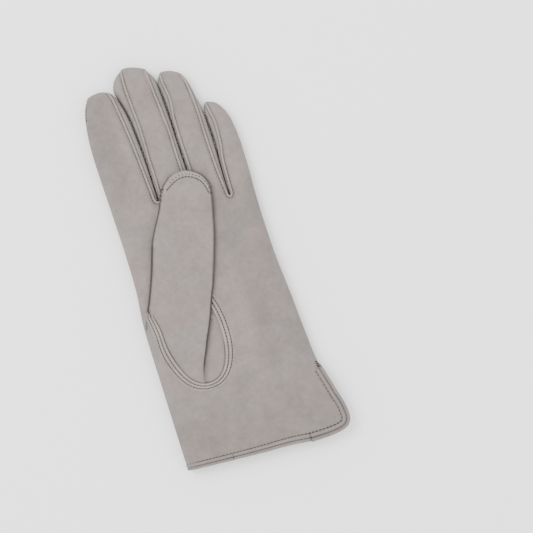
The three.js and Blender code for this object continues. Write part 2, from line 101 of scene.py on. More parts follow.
def hermite(table, knots, at):
    """Smooth columns through the rows of a table."""
    slope = np.gradient(table, knots, axis=0)
    i = np.clip(np.searchsorted(knots, at, side="right") - 1, 0, len(knots) - 2)
    h = (knots[i + 1] - knots[i])[:, None]
    t = (at - knots[i])[:, None] / h
    return ((2 * t**3 - 3 * t**2 + 1) * table[i] + (t**3 - 2 * t**2 + t) * h * slope[i]
            + (3 * t**2 - 2 * t**3) * table[i + 1] + (t**3 - t**2) * h * slope[i + 1])


def curve(points, step=0.5, count=None):
    """A smooth line through the points, evenly sampled along its length."""
    p = np.asarray(points, float)
    knots = np.concatenate([[0], np.cumsum(np.sqrt(np.diff(lengths(p))))])
    fine = hermite(p, knots, np.linspace(0, knots[-1], 24 * len(p)))
    total = lengths(fine)[-1]
    return resample(fine, np.linspace(0, total, count or max(2, int(round(total / step)) + 1)))


def x_of(line, y):
    """x of a line that climbs in y."""
    return np.interp(y, line[:, 1], line[:, 0])


def normals(line):
    """Unit vectors to the right of a plan line's run."""
    d = unit(np.gradient(line[:, :2], axis=0))
    return np.stack([d[:, 1], -d[:, 0]], 1)


def nearest(x, y, line):
    """Distance in plan to a polyline, and how far along it the nearest place is, from 0 to 1."""
    p = np.stack([np.ravel(x), np.ravel(y)], 1).astype(float)
    best = np.full(len(p), 1e9)
    place = np.zeros(len(p))
    a = line[:-1, :2]
    ab = line[1:, :2] - a
    size = (ab**2).sum(1) + 1e-12
    for i in range(0, len(p), 4000):
        q = p[i:i + 4000, None, :] - a[None]
        t = np.clip((q * ab[None]).sum(2) / size[None], 0, 1)
        d = np.linalg.norm(q - t[..., None] * ab[None], axis=2)
        k = d.argmin(1)
        best[i:i + 4000] = d[np.arange(len(k)), k]
        place[i:i + 4000] = (k + t[np.arange(len(k)), k]) / len(a)
    return best.reshape(np.shape(x)), place.reshape(np.shape(x))


def distance(x, y, line):
    return nearest(x, y, line)[0]


def bell(d, width, power=2):
    """1 at d = 0, falling to about a third at the width."""
    return np.exp(-(d / width)**power)


def unit(vectors):
    return vectors / (np.linalg.norm(vectors, axis=-1, keepdims=True) + 1e-9)


def waves(x, y, seed, length, count=6):
    """Slow undulation between about -1 and 1, in all directions."""
    r = np.random.default_rng(seed)
    total = 0
    for _ in range(count):
        angle = r.uniform(0, 2 * math.pi)
        k = 2 * math.pi / (length * r.uniform(0.7, 1.7))
        total = total + np.sin(k * (x * math.cos(angle) + y * math.sin(angle)) + r.uniform(0, 6.28))
    return total / count**0.5


# Outlines of the hand. LEFT is the fold at the index finger's side, RIGHT the sewn side above the vent.
LEFT = curve([(-47.3, -8), (-47.4, 3), (-47.4, 12), (-46.9, 40), (-46.5, 60), (-45.5, 95), (-43.2, 115),
              (-42.2, 140), (-42, 200), (-41.2, 212), (-40, 220), (-38.5, 226.3), (-36.4, 231.6)])
RIGHT = curve([(48.2, 37), (47.2, 42), (46, 60), (45, 85), (43.6, 110), (43.5, 130), (44, 150),
               (44.9, 164), (45.2, 175), (45.3, 184), (44.5, 194.5), (43.6, 199), (42, 203.4),
               (40.2, 206.6)])


# Raw edges of the fingers' seams on the palm, from crotch to tip, then the fingertips' outlines, and the
# widest places of the fingers' sides, at the height MID
CROTCH_X = [-12.9, 9.2, 29.0]
PALM_CROTCH = [163.0, 163.0, 152.9]
BACK_CROTCH = [147.5, 150.0, 138.5]
TIP_SEAM_START = 221.5  # where the seam over the index finger's tip ends on the folded side
FINGERS = [
    dict(name="index", left=None,
         right=[(-14.4, 166.5), (-14.5, 170), (-14.9, 178), (-15.2, 185), (-16, 200), (-17, 212),
                (-17.8, 220), (-18.4, 226), (-19.2, 231), (-20.2, 234)],
         top=[(-36.4, 231.6), (-33.8, 235.2), (-30, 236.2), (-26, 236.4), (-22.8, 235.5), (-20.2, 234)],
         wall_right=[(-13.2, 166), (-13.1, 178), (-13.1, 190), (-13.5, 200), (-14.1, 211), (-15, 219),
                     (-16.3, 224.5), (-17.7, 229.5), (-18.8, 232.4), (-20.2, 234)]),
    dict(name="middle",
         left=[(-11.6, 166.5), (-11.4, 170), (-11.2, 180), (-11.2, 190), (-10.7, 200), (-10.5, 210),
               (-10.9, 220), (-11.2, 230), (-11.1, 238), (-10.8, 244)],
         right=[(7.6, 166.5), (7.2, 171), (7, 180), (7.1, 190), (7.3, 200), (6.8, 212), (6.2, 221),
                (5.7, 230), (5.2, 239.4)],
         top=[(-10.8, 244), (-9, 245.3), (-6, 245.4), (-3, 244.7), (0, 243.6), (3, 242.1), (4.6, 240.9),
              (5.2, 239.4)],
         wall_left=[(-12.3, 166), (-11.9, 180), (-11.9, 190), (-12.3, 200), (-13, 211), (-13.9, 218),
                    (-15.3, 224), (-16.8, 229.5), (-17.5, 233.5), (-16.9, 237), (-15.4, 240),
                    (-13.2, 242.3), (-10.8, 244)],
         wall_right=[(8.8, 166), (8.8, 180), (8.8, 195), (9.0, 205), (8.9, 215), (8.8, 222), (8.5, 230),
                     (7.5, 235.3), (5.2, 239.4)]),
    dict(name="ring",
         left=[(10.4, 166.5), (10.4, 180), (10.4, 190), (10.5, 200), (10.9, 208), (11.8, 214),
               (12.2, 219), (11.9, 224), (11.2, 229), (11, 234.6)],
         right=[(28.2, 157), (27.9, 161), (27.4, 170), (27.1, 185), (27.2, 195), (27.4, 205), (27.1, 215),
                (26.6, 222), (25.8, 227.5), (24.8, 230.8)],
         top=[(11, 234.6), (12.4, 236.2), (15, 236.3), (18, 235.6), (21, 234.2), (23.2, 232.6),
              (24.8, 230.8)],
         wall_left=[(9.8, 166), (9.9, 185), (10, 195), (10.2, 205), (10.1, 215), (9.8, 222), (9.4, 228),
                    (9.5, 232), (11, 234.6)],
         wall_right=[(28.5, 157), (28.9, 167), (29.3, 176), (29.6, 186), (29.5, 195), (29.5, 203),
                     (29.1, 209.5), (28.1, 215), (27.3, 220.5), (26.3, 226), (24.8, 230.8)]),
    dict(name="little", right=None,
         left=[(29.8, 157), (30.0, 161), (30.5, 170), (31.2, 177), (32.3, 182), (33, 188), (33.4, 195),
               (33.3, 200), (32.6, 204), (31.6, 209.8)],
         top=[(31.6, 209.8), (33.2, 210.9), (35.5, 210.1), (38.3, 208.7), (40.2, 206.6)],
         wall_left=[(29.3, 157), (29.8, 167), (30.4, 176), (30.9, 186), (30.8, 195), (30.5, 203),
                    (30.4, 207.5), (31.6, 209.8)]),
]

# Free edges of the cuff: the binding's outside, from the folded side round the corner and up the vent
PALM_HEM = [(-47.3, 3.6), (-40, 3), (-30, 2.2), (-20, 1.4), (-10, 0.6), (0, -0.2), (10, -0.7), (20, -1.5),
            (28, -2.6), (36, -3), (42, -2.9), (47, -2.5), (50.5, -1.6), (52.8, -0.4)]
PALM_VENT = [(52.8, -0.4), (54.4, 1.6), (55.2, 4.2), (55.35, 7.5), (55.1, 10.5), (54.6, 14), (53.8, 17.2),
             (52.8, 21), (51.8, 25.5), (50.9, 29.5), (50, 33.2), (49.2, 36.5), (48.4, 39.5)]
BACK_HEM = [(-47.3, 3.6), (-30, 2.5), (-10, 1.6), (10, 0.9), (25, 0.6), (35, 0.5), (42, 1), (46, 2.8),
            (47.6, 4.6)]
BACK_VENT = [(47.6, 4.6), (49, 9), (49.4, 15), (49.1, 22), (48.7, 30), (48.4, 36), (48, 39.5)]
HEMS = {"palm": curve(PALM_HEM), "back": curve(BACK_HEM)}
VENTS = {"palm": curve(PALM_VENT), "back": curve(BACK_VENT)}


def open_crotch(line, x, y):
    """Adds the round bottom of a crotch to a line that rises beside a gap."""
    side = np.sign(line[0][0] - x)
    width = abs(line[0][0] - x)
    return [(x, y), (x + side * width * 0.55, y + 0.45), (x + side * width * 0.88, y + 1.5)] + line


def finger_line(i, hand, side):
    """Raw seam edge at one hand of a finger's face, from its crotch to its tip."""
    finger = FINGERS[i]
    gap = i - 1 if hand == "left" else i
    if side == "palm":
        return curve(open_crotch(finger[hand], CROTCH_X[gap], PALM_CROTCH[gap]), 0.4)
    wall = curve(finger["wall_" + hand], 0.4)
    inward = 1 if hand == "left" else -1
    top = wall[-1, 1]
    kept = wall[wall[:, 1] < top - 0.3]
    away = 0.9 * smooth(top, top - 9, kept[:, 1]) + 0.1
    kept = kept + np.stack([inward * away, 0 * away], 1)
    below = [(kept[0, 0] + inward * 0.1, y) for y in (BACK_CROTCH[gap] + 4, BACK_CROTCH[gap] + 9)]
    bottom = open_crotch(below, CROTCH_X[gap], BACK_CROTCH[gap])
    return np.vstack([curve(bottom + [tuple(kept[0])], 0.4), kept[1:], wall[-1:]])


def wall_line(i, hand):
    """Widest places of a finger's side, from the crotch to the tip."""
    gap = i - 1 if hand == "left" else i
    wall = curve(FINGERS[i]["wall_" + hand], 0.4)
    middle = (PALM_CROTCH[gap] + BACK_CROTCH[gap]) / 2
    bend = (mix(CROTCH_X[gap], wall[0, 0], 0.7), middle + 2)
    start = curve([(CROTCH_X[gap], middle), bend, tuple(wall[0])], 0.4)
    return np.vstack([start, wall[1:]])


def gap_seam(gap, side):
    """Raw edge down one finger, round the crotch and up the next."""
    return np.vstack([EDGES[gap, "right", side][::-1], EDGES[gap + 1, "left", side][1:]])


EDGES = {(i, hand, side): finger_line(i, hand, side)
         for side in ("palm", "back") for i in range(4) for hand in ("left", "right")
         if not (i == 0 and hand == "left") and not (i == 3 and hand == "right")}
TOPS = [curve(finger["top"], 0.3) for finger in FINGERS]
GAP_SEAMS = {side: [gap_seam(gap, side) for gap in range(3)] for side in ("palm", "back")}
ROUNDED = [np.vstack([LEFT, TOPS[0][1:]]), TOPS[1], TOPS[2], np.vstack([RIGHT, TOPS[3][::-1][1:]])]

# The thumb's hole: the raw edge of the leather that laps over the thumb
HOLE_X, HOLE_Y = -18.4, 81.0
HOLE_HALF_WIDTH, HOLE_HALF_LENGTH = 16.6, 31.0
BAND = 4.4  # from the raw edge to the outer row of stitches, at the sides


def hole_half_width(hand, dy):
    """The edge runs further out on the index finger's side, above the middle."""
    wider = smooth(-20, 0, dy) + 5.1 * np.clip((dy - 4) / 15.5, 0, 1)**2 * (1 - smooth(17, 24, dy))
    return HOLE_HALF_WIDTH + np.where(hand < 0, wider, 0)


def margin_share(hand, dy):
    """The band is narrower on that side."""
    return 1 - np.where(hand < 0, 0.17 * smooth(-12, 4, dy) + 0.12 * smooth(8, 18, dy), 0)


def hole_point(angle, margin=0.0):
    """Angle 0 is the little finger's side; the margin is outwards from the raw edge."""
    power = 2 / 2.2
    c, s = np.cos(angle), np.sin(angle)
    dy = (HOLE_HALF_LENGTH + margin * 0.72) * np.sign(s) * np.abs(s)**power
    dx = (hole_half_width(c, dy) + margin * margin_share(c, dy)) * np.sign(c) * np.abs(c)**power
    return np.stack([HOLE_X + dx - 0.025 * dy - 0.0012 * np.maximum(dy, 0)**2, HOLE_Y + dy], -1)


def hole_margin(x, y):
    """About how far outside the raw edge a place lies."""
    dy = y - HOLE_Y
    dx = x - HOLE_X + 0.025 * dy + 0.0012 * np.maximum(dy, 0)**2
    r = (np.abs(dx / hole_half_width(dx, dy))**2.2 + np.abs(dy / HOLE_HALF_LENGTH)**2.2)**(1 / 2.2)
    return (r - 1) * np.hypot(dx, dy) / np.maximum(r, 1e-6) / margin_share(dx, dy)


POINT_LINES = [curve(p, 1.0) for p in ([(-11.6, 131.5), (-6.5, 108), (-1.4, 86), (3.2, 66)],
                                       [(8.9, 139.5), (10, 113), (11.4, 88), (12.8, 66)],
                                       [(30, 125), (28.6, 105), (26.6, 85), (24.3, 66)])]
SIDE_SEAM = curve([(41.2, 202), (42.3, 190), (42, 165), (40.8, 140), (41, 110), (42.6, 80), (44.2, 52),
                   (45.4, 41)], 1.0)
TIP_SEAM = curve([(-6, 167.4), (-2, 169.7), (2.5, 171.5), (7, 171.6), (11, 170), (13.6, 168.1),
                  (15.6, 165.4), (16.8, 162), (17.5, 158)])
TIP_SEAM_LEFT = curve([(-11.4, 161.6), (-10.6, 164.4), (-9.4, 166.6), (-8, 168)])

# Soft folds in the palm: from, to, half width, height
FOLDS = [((13, 32), (19, 118), 5.5, 0.6), ((22, 24), (29, 112), 6.5, -0.55),
         ((31, 40), (36, 128), 5.0, 0.5), ((-30, 14), (-14, 40), 8.0, -0.4),
         ((6, 60), (9, 100), 4.0, -0.35), ((38, 60), (38, 140), 3.5, -0.4),
         ((21, 120), (24, 150), 4.0, 0.4), ((-30, 120), (-24, 158), 6.0, -0.35),
         ((-40, 96), (-45, 91), 1.6, -0.7)]
FINGER_FOLDS = [((-36, 176), (-22, 182), 3.0, -0.25), ((-38, 205), (-24, 214), 4.0, 0.2),
                ((-6, 188), (2, 190), 3.0, 0.2), ((14, 182), (24, 186), 3.0, -0.25),
                ((14, 206), (22, 203), 3.5, 0.2), ((36, 178), (43, 181), 2.5, -0.25)]


# The leather's outside

PILLOW = 4.6  # from a seam's stitches to where the leather is flat


def arc(d, roll):
    """Quarter of an ellipse: from 0 at d = 0 to 1 at the roll."""
    return np.sqrt(np.clip(1 - (1 - np.clip(d / roll, 0, 1))**2, 0, 1))


def fold_relief(x, y, folds):
    total = 0
    for start, end, width, height in folds:
        d, place = nearest(x, y, np.array([start, end], float))
        total = total + height * bell(d, width) * np.sin(math.pi * np.clip(place, 0.03, 0.97))**0.5
    return total


def seam_distance(side, x, y):
    return np.min([distance(x, y, line) for line in GAP_SEAMS[side]], axis=0)


def sheet_rise(side, y):
    """How far the middle of a face stands from MID, from the cuff to the fingers."""
    if side == "back":
        return MID - 0.9 * (1 - smooth(38, 60, y))
    hand = mix(CUFF_RISE, PALM_RISE, smooth(18, 85, y))
    return mix(hand, FINGER_RISE, smooth(132, 172, y))


def lip_rise(d):
    """A seam's lip and the groove of its stitches, by the distance from the raw edge."""
    share = np.clip(d / LIP, 0, 1)
    lip = 0.5 * np.sin(math.pi * share)**0.7 - 0.2 * (1 - smooth(0, 0.4, d))
    return np.where(d < LIP, lip, 0) - 0.5 * bell(d - LIP, 0.36)


def rolled_sides(i, x, y, d_round):
    """From 0 at the glove's outer edge to 1 where a face is flat. The vent's edges don't roll."""
    closed = smooth(VENT_TOP - 8, VENT_TOP + 2, y)
    roll = mix(SIDE_ROLL, TIP_ROLL, smooth(150, 215, y))
    if i == 3:
        return mix(1.0, arc(d_round, roll), closed)
    d_left = np.where(y < 140, x - x_of(LEFT, y), 99)
    d_right = np.where(y < 140, x_of(RIGHT, y) - x, 99)
    sides = arc(np.minimum(d_round, np.maximum(d_left, 0)), roll)
    return sides * mix(1.0, arc(np.maximum(d_right, 0), roll), closed)


def palm_relief(x, y, d_round):
    """Waves, folds and the puckers below the crotches."""
    relief = 0.13 * waves(x, y, 3, 36) + 0.07 * waves(x, y, 4, 13)
    relief = relief + fold_relief(x, y, FOLDS) * (1 - smooth(150, 165, y))
    relief = relief + fold_relief(x, y, FINGER_FOLDS)
    relief = relief + 0.3 * smooth(4, 20, d_round) * (1 - smooth(130, 160, y))
    for cx, cy in zip(CROTCH_X, PALM_CROTCH):
        r = np.hypot(x - cx, y - cy)
        turn = np.arctan2(x - cx, cy - y)
        below = 1 - smooth(cy - 6, cy + 2, y)
        relief = relief + 0.2 * np.cos(turn * 5.5) * bell(r - 8, 6) * below
    return relief


def back_relief(x, y):
    """The three points and the side seam."""
    relief = 0
    for line in POINT_LINES:
        d = distance(x, y, line)
        relief = relief - (0.55 * (1 - smooth(2.6, 4.2, d)) - 0.75 * bell(d - 1.0, 0.8, 4)) * 0.9
    d = distance(x, y, SIDE_SEAM)
    return relief + 0.35 * bell(d, 0.9, 4) - 0.4 * bell(d - 1.5, 0.4)


def sheet(side, i, x, y, sink=0.0):
    """Height of the outside of the palm or the back, in the strip of leather that ends in finger i. Sink
    lowers it where the band round the thumb's hole lies on it."""
    x, y = np.asarray(x, float), np.asarray(y, float)
    d_seam = seam_distance(side, x, y)
    pillow = arc(d_seam - LIP, PILLOW)
    lift = mix(SEAM_RISE, sheet_rise(side, y), pillow) + lip_rise(d_seam)
    d_round = distance(x, y, ROUNDED[i])
    sides = rolled_sides(i, x, y, d_round)
    if side == "back":
        return np.maximum(MID - (lift + back_relief(x, y)) * sides, 0.02)
    margin = hole_margin(x, y)
    relief = palm_relief(x, y, d_round) * smooth(-1, 9, margin)
    lift = lift + relief * smooth(0, 6, d_round) * pillow
    lift = lift - sink * smooth(-3, -2, margin) * (1 - smooth(5.6, 6.4, margin))
    return MID + lift * sides


def on_sheet(side, i, plan):
    return sheet(side, i, plan[..., 0], plan[..., 1])


# Where the thumb's left edge presses a crease into the palm. Painted shade darkens the leather along it.
THUMB_CREASE = np.array([(-40.2, 101.5), (-42.2, 97.0), (-44.2, 92.5)])


def seam_tone(d):
    """Painted shade in a seam's groove and at its raw edge, and a painted highlight on the lip between
    them.
    """
    return 0.32 * bell(d - LIP * 0.5, 0.55, 4) - 0.24 * bell(d - LIP, 0.3) - 0.3 * bell(d, 0.2)


def palm_darkening(x, y):
    """The palm is darker towards the hem, at the little finger's side and at the index finger's foot."""
    tone_shift = 0.12 * (1 - smooth(15, 70, y))
    tone_shift = tone_shift + 0.1 * smooth(5, 25, x) * smooth(180, 140, y) * smooth(30, 70, y)
    return tone_shift + 0.12 * smooth(165, 190, y) * smooth(-18, -30, x)


def sheet_tone(side, i, x, y):
    """How much paler or darker than its material the leather is: painted shade and painted highlights at
    seams, edges, folds and creases, and the palm darker in places.
    """
    # Painted shade in the seams' grooves, at their raw edges and along the fingertips' outlines, and
    # painted highlights on the lips
    tone = seam_tone(seam_distance(side, x, y)) - 0.3 * bell(distance(x, y, TOPS[i]), 0.3)
    if side == "palm":
        crease = distance(x, y, THUMB_CREASE)
        folds = fold_relief(x, y, FOLDS) + fold_relief(x, y, FINGER_FOLDS)
        # Painted light and shade that follow the folds' heights, painted shade along the thumb's crease,
        # and the palm darker towards the hem and the sides
        return tone + 0.07 * folds - 0.55 * bell(crease, 0.75) - palm_darkening(x, y)
    # Painted highlights on the points' ridges, painted shade in their grooves and in the side seam's groove
    for line in POINT_LINES:
        d = distance(x, y, line)
        tone = tone + 0.2 * bell(d - 1.0, 0.6, 4) - 0.2 * bell(d - 1.9, 0.35)
    return tone - 0.3 * bell(distance(x, y, SIDE_SEAM) - 1.5, 0.35)


# Meshes


def add_piece(name, verts, faces, material, nodes=(), tone=None):
    """A mesh in the frame, on the glove's body, in place of the CAD nodes that it dresses."""
    mesh = bpy.data.meshes.new(name)
    placed = (np.asarray(verts, float) + ORIGIN) / 1000.0
    mesh.from_pydata(placed.tolist(), [], [[int(v) for v in face] for face in faces])
    if tone is not None:
        attribute = mesh.attributes.new("tone", "FLOAT", "POINT")
        attribute.data.foreach_set("value", np.asarray(tone, np.float32))
    mesh.validate()
    mesh.polygons.foreach_set("use_smooth", [True] * len(mesh.polygons))
    mesh.update()
    piece = bpy.data.objects.new(name, mesh)
    bpy.context.scene.collection.objects.link(piece)
    mesh.materials.append(material)
    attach(piece, "root")
    if nodes:
        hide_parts(*nodes)


def grid_faces(rows, cols, start=0, closed=False, flip=False):
    """Quads between neighbouring rows; closed joins the last column to the first."""
    faces = []
    for r in range(rows - 1):
        for c in range(cols if closed else cols - 1):
            a = start + r * cols + c
            b = start + r * cols + (c + 1) % cols
            quad = (a, b, b + cols, a + cols)
            faces.append(quad[::-1] if flip else quad)
    return faces


def weld(verts, faces, tolerance=1e-3):
    """Joins points that coincide. Also returns which points were kept, for their tones."""
    keys = np.round(np.asarray(verts) / tolerance).astype(np.int64)
    _, first, back = np.unique(keys, axis=0, return_index=True, return_inverse=True)
    back = back.reshape(-1)
    welded = []
    for face in faces:
        g = [int(back[v]) for v in face]
        g = [v for k, v in enumerate(g) if v != g[k - 1]]
        if len(g) > 2:
            welded.append(g)
    return np.asarray(verts)[first], welded, first


# Places of the columns near a strip's edge, by the kind of edge
NEAR = {"seam": [0, 0.3, 0.65, 1.05, 1.4, 1.75, 2.1, 2.6, 3.5, 4.8],
        "roll": [0, 0.03, 0.12, 0.3, 0.6, 1.1, 1.8, 2.8, 4.0, 5.4]}
EDGE_KINDS = [("roll", "seam"), ("seam", "seam"), ("seam", "seam"), ("seam", "roll")]
COLUMNS = 33


def spread(width, kinds):
    """Places of a strip's columns, as shares of its width."""
    a, b = np.array(NEAR[kinds[0]], float), np.array(NEAR[kinds[1]], float)
    scale = min(1.0, width * 0.4 / a[-1])
    a, b = a * scale, width - b[::-1] * scale
    middle = np.linspace(a[-1], b[0], COLUMNS - len(a) - len(b) + 2)[1:-1]
    return np.concatenate([a, middle, b]) / max(width, 1e-9)


FINGER_FOOT = 172.0  # level from which each face is a finger's own
CUFF_END = 60.0
STRIP_SHARES = [0, 0.345, 0.575, 0.8, 1]


def hand_rows():
    """Levels of the rows from the cuff to the fingers, close together at the crotches."""
    rows = [np.linspace(CUFF_END, FINGER_FOOT, 70)]
    for crotch in PALM_CROTCH + BACK_CROTCH:
        rows.append(crotch + np.arange(-4, 4.01, 0.4))
    rows = np.unique(np.round(np.concatenate(rows), 3))
    keep = np.concatenate([[True], np.diff(rows) > 0.12])
    exact = np.isin(rows, np.round(PALM_CROTCH + BACK_CROTCH, 3))
    return rows[keep | exact]


def strip_edge(side, border, y):
    """x of one of the five lines that part the strips, on its left and its right side."""
    if border == 0:
        return (x_of(LEFT, y),) * 2
    if border == 4:
        return (x_of(RIGHT, y),) * 2
    gap = border - 1
    crotch = (PALM_CROTCH if side == "palm" else BACK_CROTCH)[gap]
    hem_x = mix(x_of(LEFT, y), x_of(RIGHT, y), STRIP_SHARES[border])
    hand = mix(hem_x, CROTCH_X[gap], smooth(crotch - 45, crotch - 5, y))
    before = np.where(y > crotch, x_of(EDGES[gap, "right", side], y), hand)
    after = np.where(y > crotch, x_of(EDGES[gap + 1, "left", side], y), hand)
    return before, after


def coons(left, right, bottom, top, u, v):
    """A patch between four lines. Rows follow v, columns follow u."""
    a, b = at_shares(left, v)[:, None], at_shares(right, v)[:, None]
    c, d = bottom[None], at_shares(top, u)[None]
    across, up = np.asarray(u)[None, :, None], np.asarray(v)[:, None, None]
    low = (1 - across) * bottom[0] + across * bottom[-1]
    high = (1 - across) * d[0, 0] + across * d[0, -1]
    return (1 - across) * a + across * b + (1 - up) * (c - low) + up * (d - high)


# Rows of a finger's patch, as shares of its length back from the tip
NEAR_TIP = [0.135, 0.11, 0.09, 0.072, 0.056, 0.042, 0.03, 0.02, 0.012, 0.006, 0.002, 0]


def above_foot(line):
    foot = [(x_of(line, FINGER_FOOT), FINGER_FOOT)]
    return np.vstack([foot, line[line[:, 1] > FINGER_FOOT + 0.2]])


def finger_patch(side, i, foot):
    left = above_foot(LEFT if i == 0 else EDGES[i, "left", side])
    right = above_foot(RIGHT if i == 3 else EDGES[i, "right", side])
    top = TOPS[i]
    left = np.vstack([left[:-1], top[:1]])
    right = np.vstack([right[:-1], top[-1:]])
    v = np.concatenate([np.linspace(0, 0.84, 46), 1 - np.array(NEAR_TIP)])
    width = right[0, 0] - left[0, 0]
    return coons(left, right, foot, top, spread(width, EDGE_KINDS[i]), v)[1:]


UNDER_BINDING = 0.9  # how far the leather's edge lies inside the binding's outside


def cuff_patch(side, top_row):
    """From the hem up to CUFF_END, below all four strips."""
    vent, hem = VENTS[side], HEMS[side]
    above = np.arange(vent[-1, 1] + 1, CUFF_END + 0.01, 1.0)
    right = np.vstack([vent, np.stack([x_of(RIGHT, above), above], 1)])
    right[-1] = top_row[-1]
    left_y = np.linspace(hem[0, 1], CUFF_END, 120)
    left = np.stack([x_of(LEFT, left_y), left_y], 1)
    u = (top_row[:, 0] - top_row[0, 0]) / (top_row[-1, 0] - top_row[0, 0])
    v = np.concatenate([[0, 0.012, 0.025, 0.04, 0.06], np.linspace(0.08, 1, 46)])
    hem_x = mix(hem[0, 0], hem[-1, 0], u)
    bottom = np.stack([hem_x, np.interp(hem_x, hem[:, 0], hem[:, 1])], 1)
    grid = coons(left, right, bottom, top_row, u, v)
    grid[..., 1] += UNDER_BINDING * (1 - smooth(0, 0.05, v))[:, None]
    grid[:, -1, 0] -= UNDER_BINDING * (1 - smooth(36, 40, grid[:, -1, 1]))
    return grid[:-1]


def face_plan(side):
    """Plan grids of one side's four strips, each with the same columns from the hem to its fingertip."""
    rows = hand_rows()
    strips = []
    for i in range(4):
        left = strip_edge(side, i, rows)[1]
        right = strip_edge(side, i + 1, rows)[0]
        grid = []
        for y, a, b in zip(rows, left, right):
            grid.append(np.stack([a + (b - a) * spread(b - a, EDGE_KINDS[i]), np.full(COLUMNS, y)], 1))
        strips.append(np.array(grid))
    row = np.concatenate([strip[0] if k == 0 else strip[0][1:] for k, strip in enumerate(strips)])
    cuff = cuff_patch(side, row)
    out = []
    for i, strip in enumerate(strips):
        start = i * (COLUMNS - 1)
        below = cuff[:, start:start + COLUMNS]
        out.append(np.concatenate([below, strip, finger_patch(side, i, strip[-1])]))
    return out


PLANS = {side: face_plan(side) for side in ("palm", "back")}


def skirt(edge, inner, axis):
    """The raw edge's thickness: three rows that turn from the outside in under the leather."""
    inward = unit(inner - edge)
    out = np.cross(np.gradient(edge, axis=0), inward)
    out = unit(out * np.sign((out * (edge - axis)).sum(1))[:, None])
    below = edge - out * SKIN
    return np.stack([edge, below, below + inward * 1.3], 1)


def side_heights(side, i, plan, sink=0.0):
    """Heights of a strip's grid. Its edges at the folded side and the fingertip meet the other side's."""
    z = sheet(side, i, plan[..., 0], plan[..., 1], sink)
    up = 1 if side == "palm" else -1
    if i == 0:
        sewn = smooth(TIP_SEAM_START - 1, TIP_SEAM_START + 1, plan[:, 0, 1])
        z[:, 0] = MID + up * 0.3 * sewn
    if i == 3:
        closed = smooth(VENT_TOP - 4, VENT_TOP + 2, plan[:, -1, 1])
        z[:, -1] = mix(z[:, -1], MID, closed)
    z[-1] = MID + up * 0.3
    return z


def outside_hole(middle, faces, margin):
    """The faces whose middle lies further out than a margin from the thumb's hole."""
    keep = (hole_margin(middle[..., 0], middle[..., 1]) > margin).ravel()
    return [face for face, kept in zip(faces, keep) if kept]


def raw_edge(side, i, grid):
    """Round a finger's face, up its left edge, over the tip and down the right, with places further in."""
    rows, cols = grid.shape[:2]
    crotches = BACK_CROTCH if side == "back" else PALM_CROTCH
    left_from = TIP_SEAM_START if i == 0 else crotches[i - 1] - 1e-6
    right_from = 999 if i == 3 else crotches[i] - 1e-6
    left = [(r, 0, r, 3) for r in range(rows) if grid[r, 0, 1] >= left_from]
    top = [(rows - 1, c, rows - 4, c) for c in range(cols)]
    right = [(r, cols - 1, r, cols - 4) for r in range(rows)[::-1] if grid[r, -1, 1] >= right_from]
    path = np.array(left[:-1] + top + right[1:])
    return grid[path[:, 0], path[:, 1]], grid[path[:, 2], path[:, 3]]


def build_trank(material):
    verts, faces, tones = [], [], []
    count = 0
    for side in ("palm", "back"):
        for i, plan in enumerate(PLANS[side]):
            tones.append(sheet_tone(side, i, plan[..., 0], plan[..., 1]).ravel())
            grid = raised(plan, side_heights(side, i, plan, sink=0.3))
            verts.append(grid.reshape(-1, 3))
            strip = grid_faces(*plan.shape[:2], count, flip=side == "back")
            if side == "palm":
                middle = (plan[:-1, :-1] + plan[1:, :-1] + plan[:-1, 1:] + plan[1:, 1:]) / 4
                strip = outside_hole(middle, strip, -2.5)
            faces += strip
            count += len(verts[-1])
            edge, inner = raw_edge(side, i, grid)
            axis = edge * 0 + (grid[-40, :, 0].mean(), 0, MID)
            axis[:, 1] = edge[:, 1] - 4
            verts.append(skirt(edge, inner, axis).reshape(-1, 3))
            # The raw edge's thickness darker towards its underside: painted shade, on a cut edge that is
            # also a little darker in itself
            tones.append(np.tile([-0.3, -0.45, -0.5], len(edge)))
            faces += grid_faces(len(edge), 3, count, flip=side == "palm")
            count += len(verts[-1])
    verts, faces, kept = weld(np.concatenate(verts), faces)
    add_piece("trank_leather", verts, faces, material, ["trank"], tone=np.concatenate(tones)[kept])


def build_lining_side(material):
    """The inside of the leather, seen through the cuff and the vent."""
    verts, faces = [], []
    count = 0
    for side in ("palm", "back"):
        up = 1 if side == "palm" else -1
        for i, plan in enumerate(PLANS[side]):
            plan = plan[:100:2, ::2]
            z = side_heights(side, i, plan)
            from_middle = np.abs(z - MID)
            shift = 1 - np.clip(from_middle / 4.5, 0, 1)
            x = plan[..., 0] - np.sign(plan[..., 0]) * shift * SKIN
            depth = up * np.clip(from_middle / 2.5, 0, 1) * SKIN
            verts.append(np.stack([x, plan[..., 1], z - depth], 2).reshape(-1, 3))
            strip = grid_faces(*plan.shape[:2], count, flip=side == "palm")
            if side == "palm":
                strip = outside_hole((plan[:-1, :-1] + plan[1:, 1:]) / 2, strip, -1)
            faces += strip
            count += len(verts[-1])
    verts, faces, _ = weld(np.concatenate(verts), faces)
    add_piece("trank_inside", verts, faces, material, ["trank"])


# The side strips between the fingers


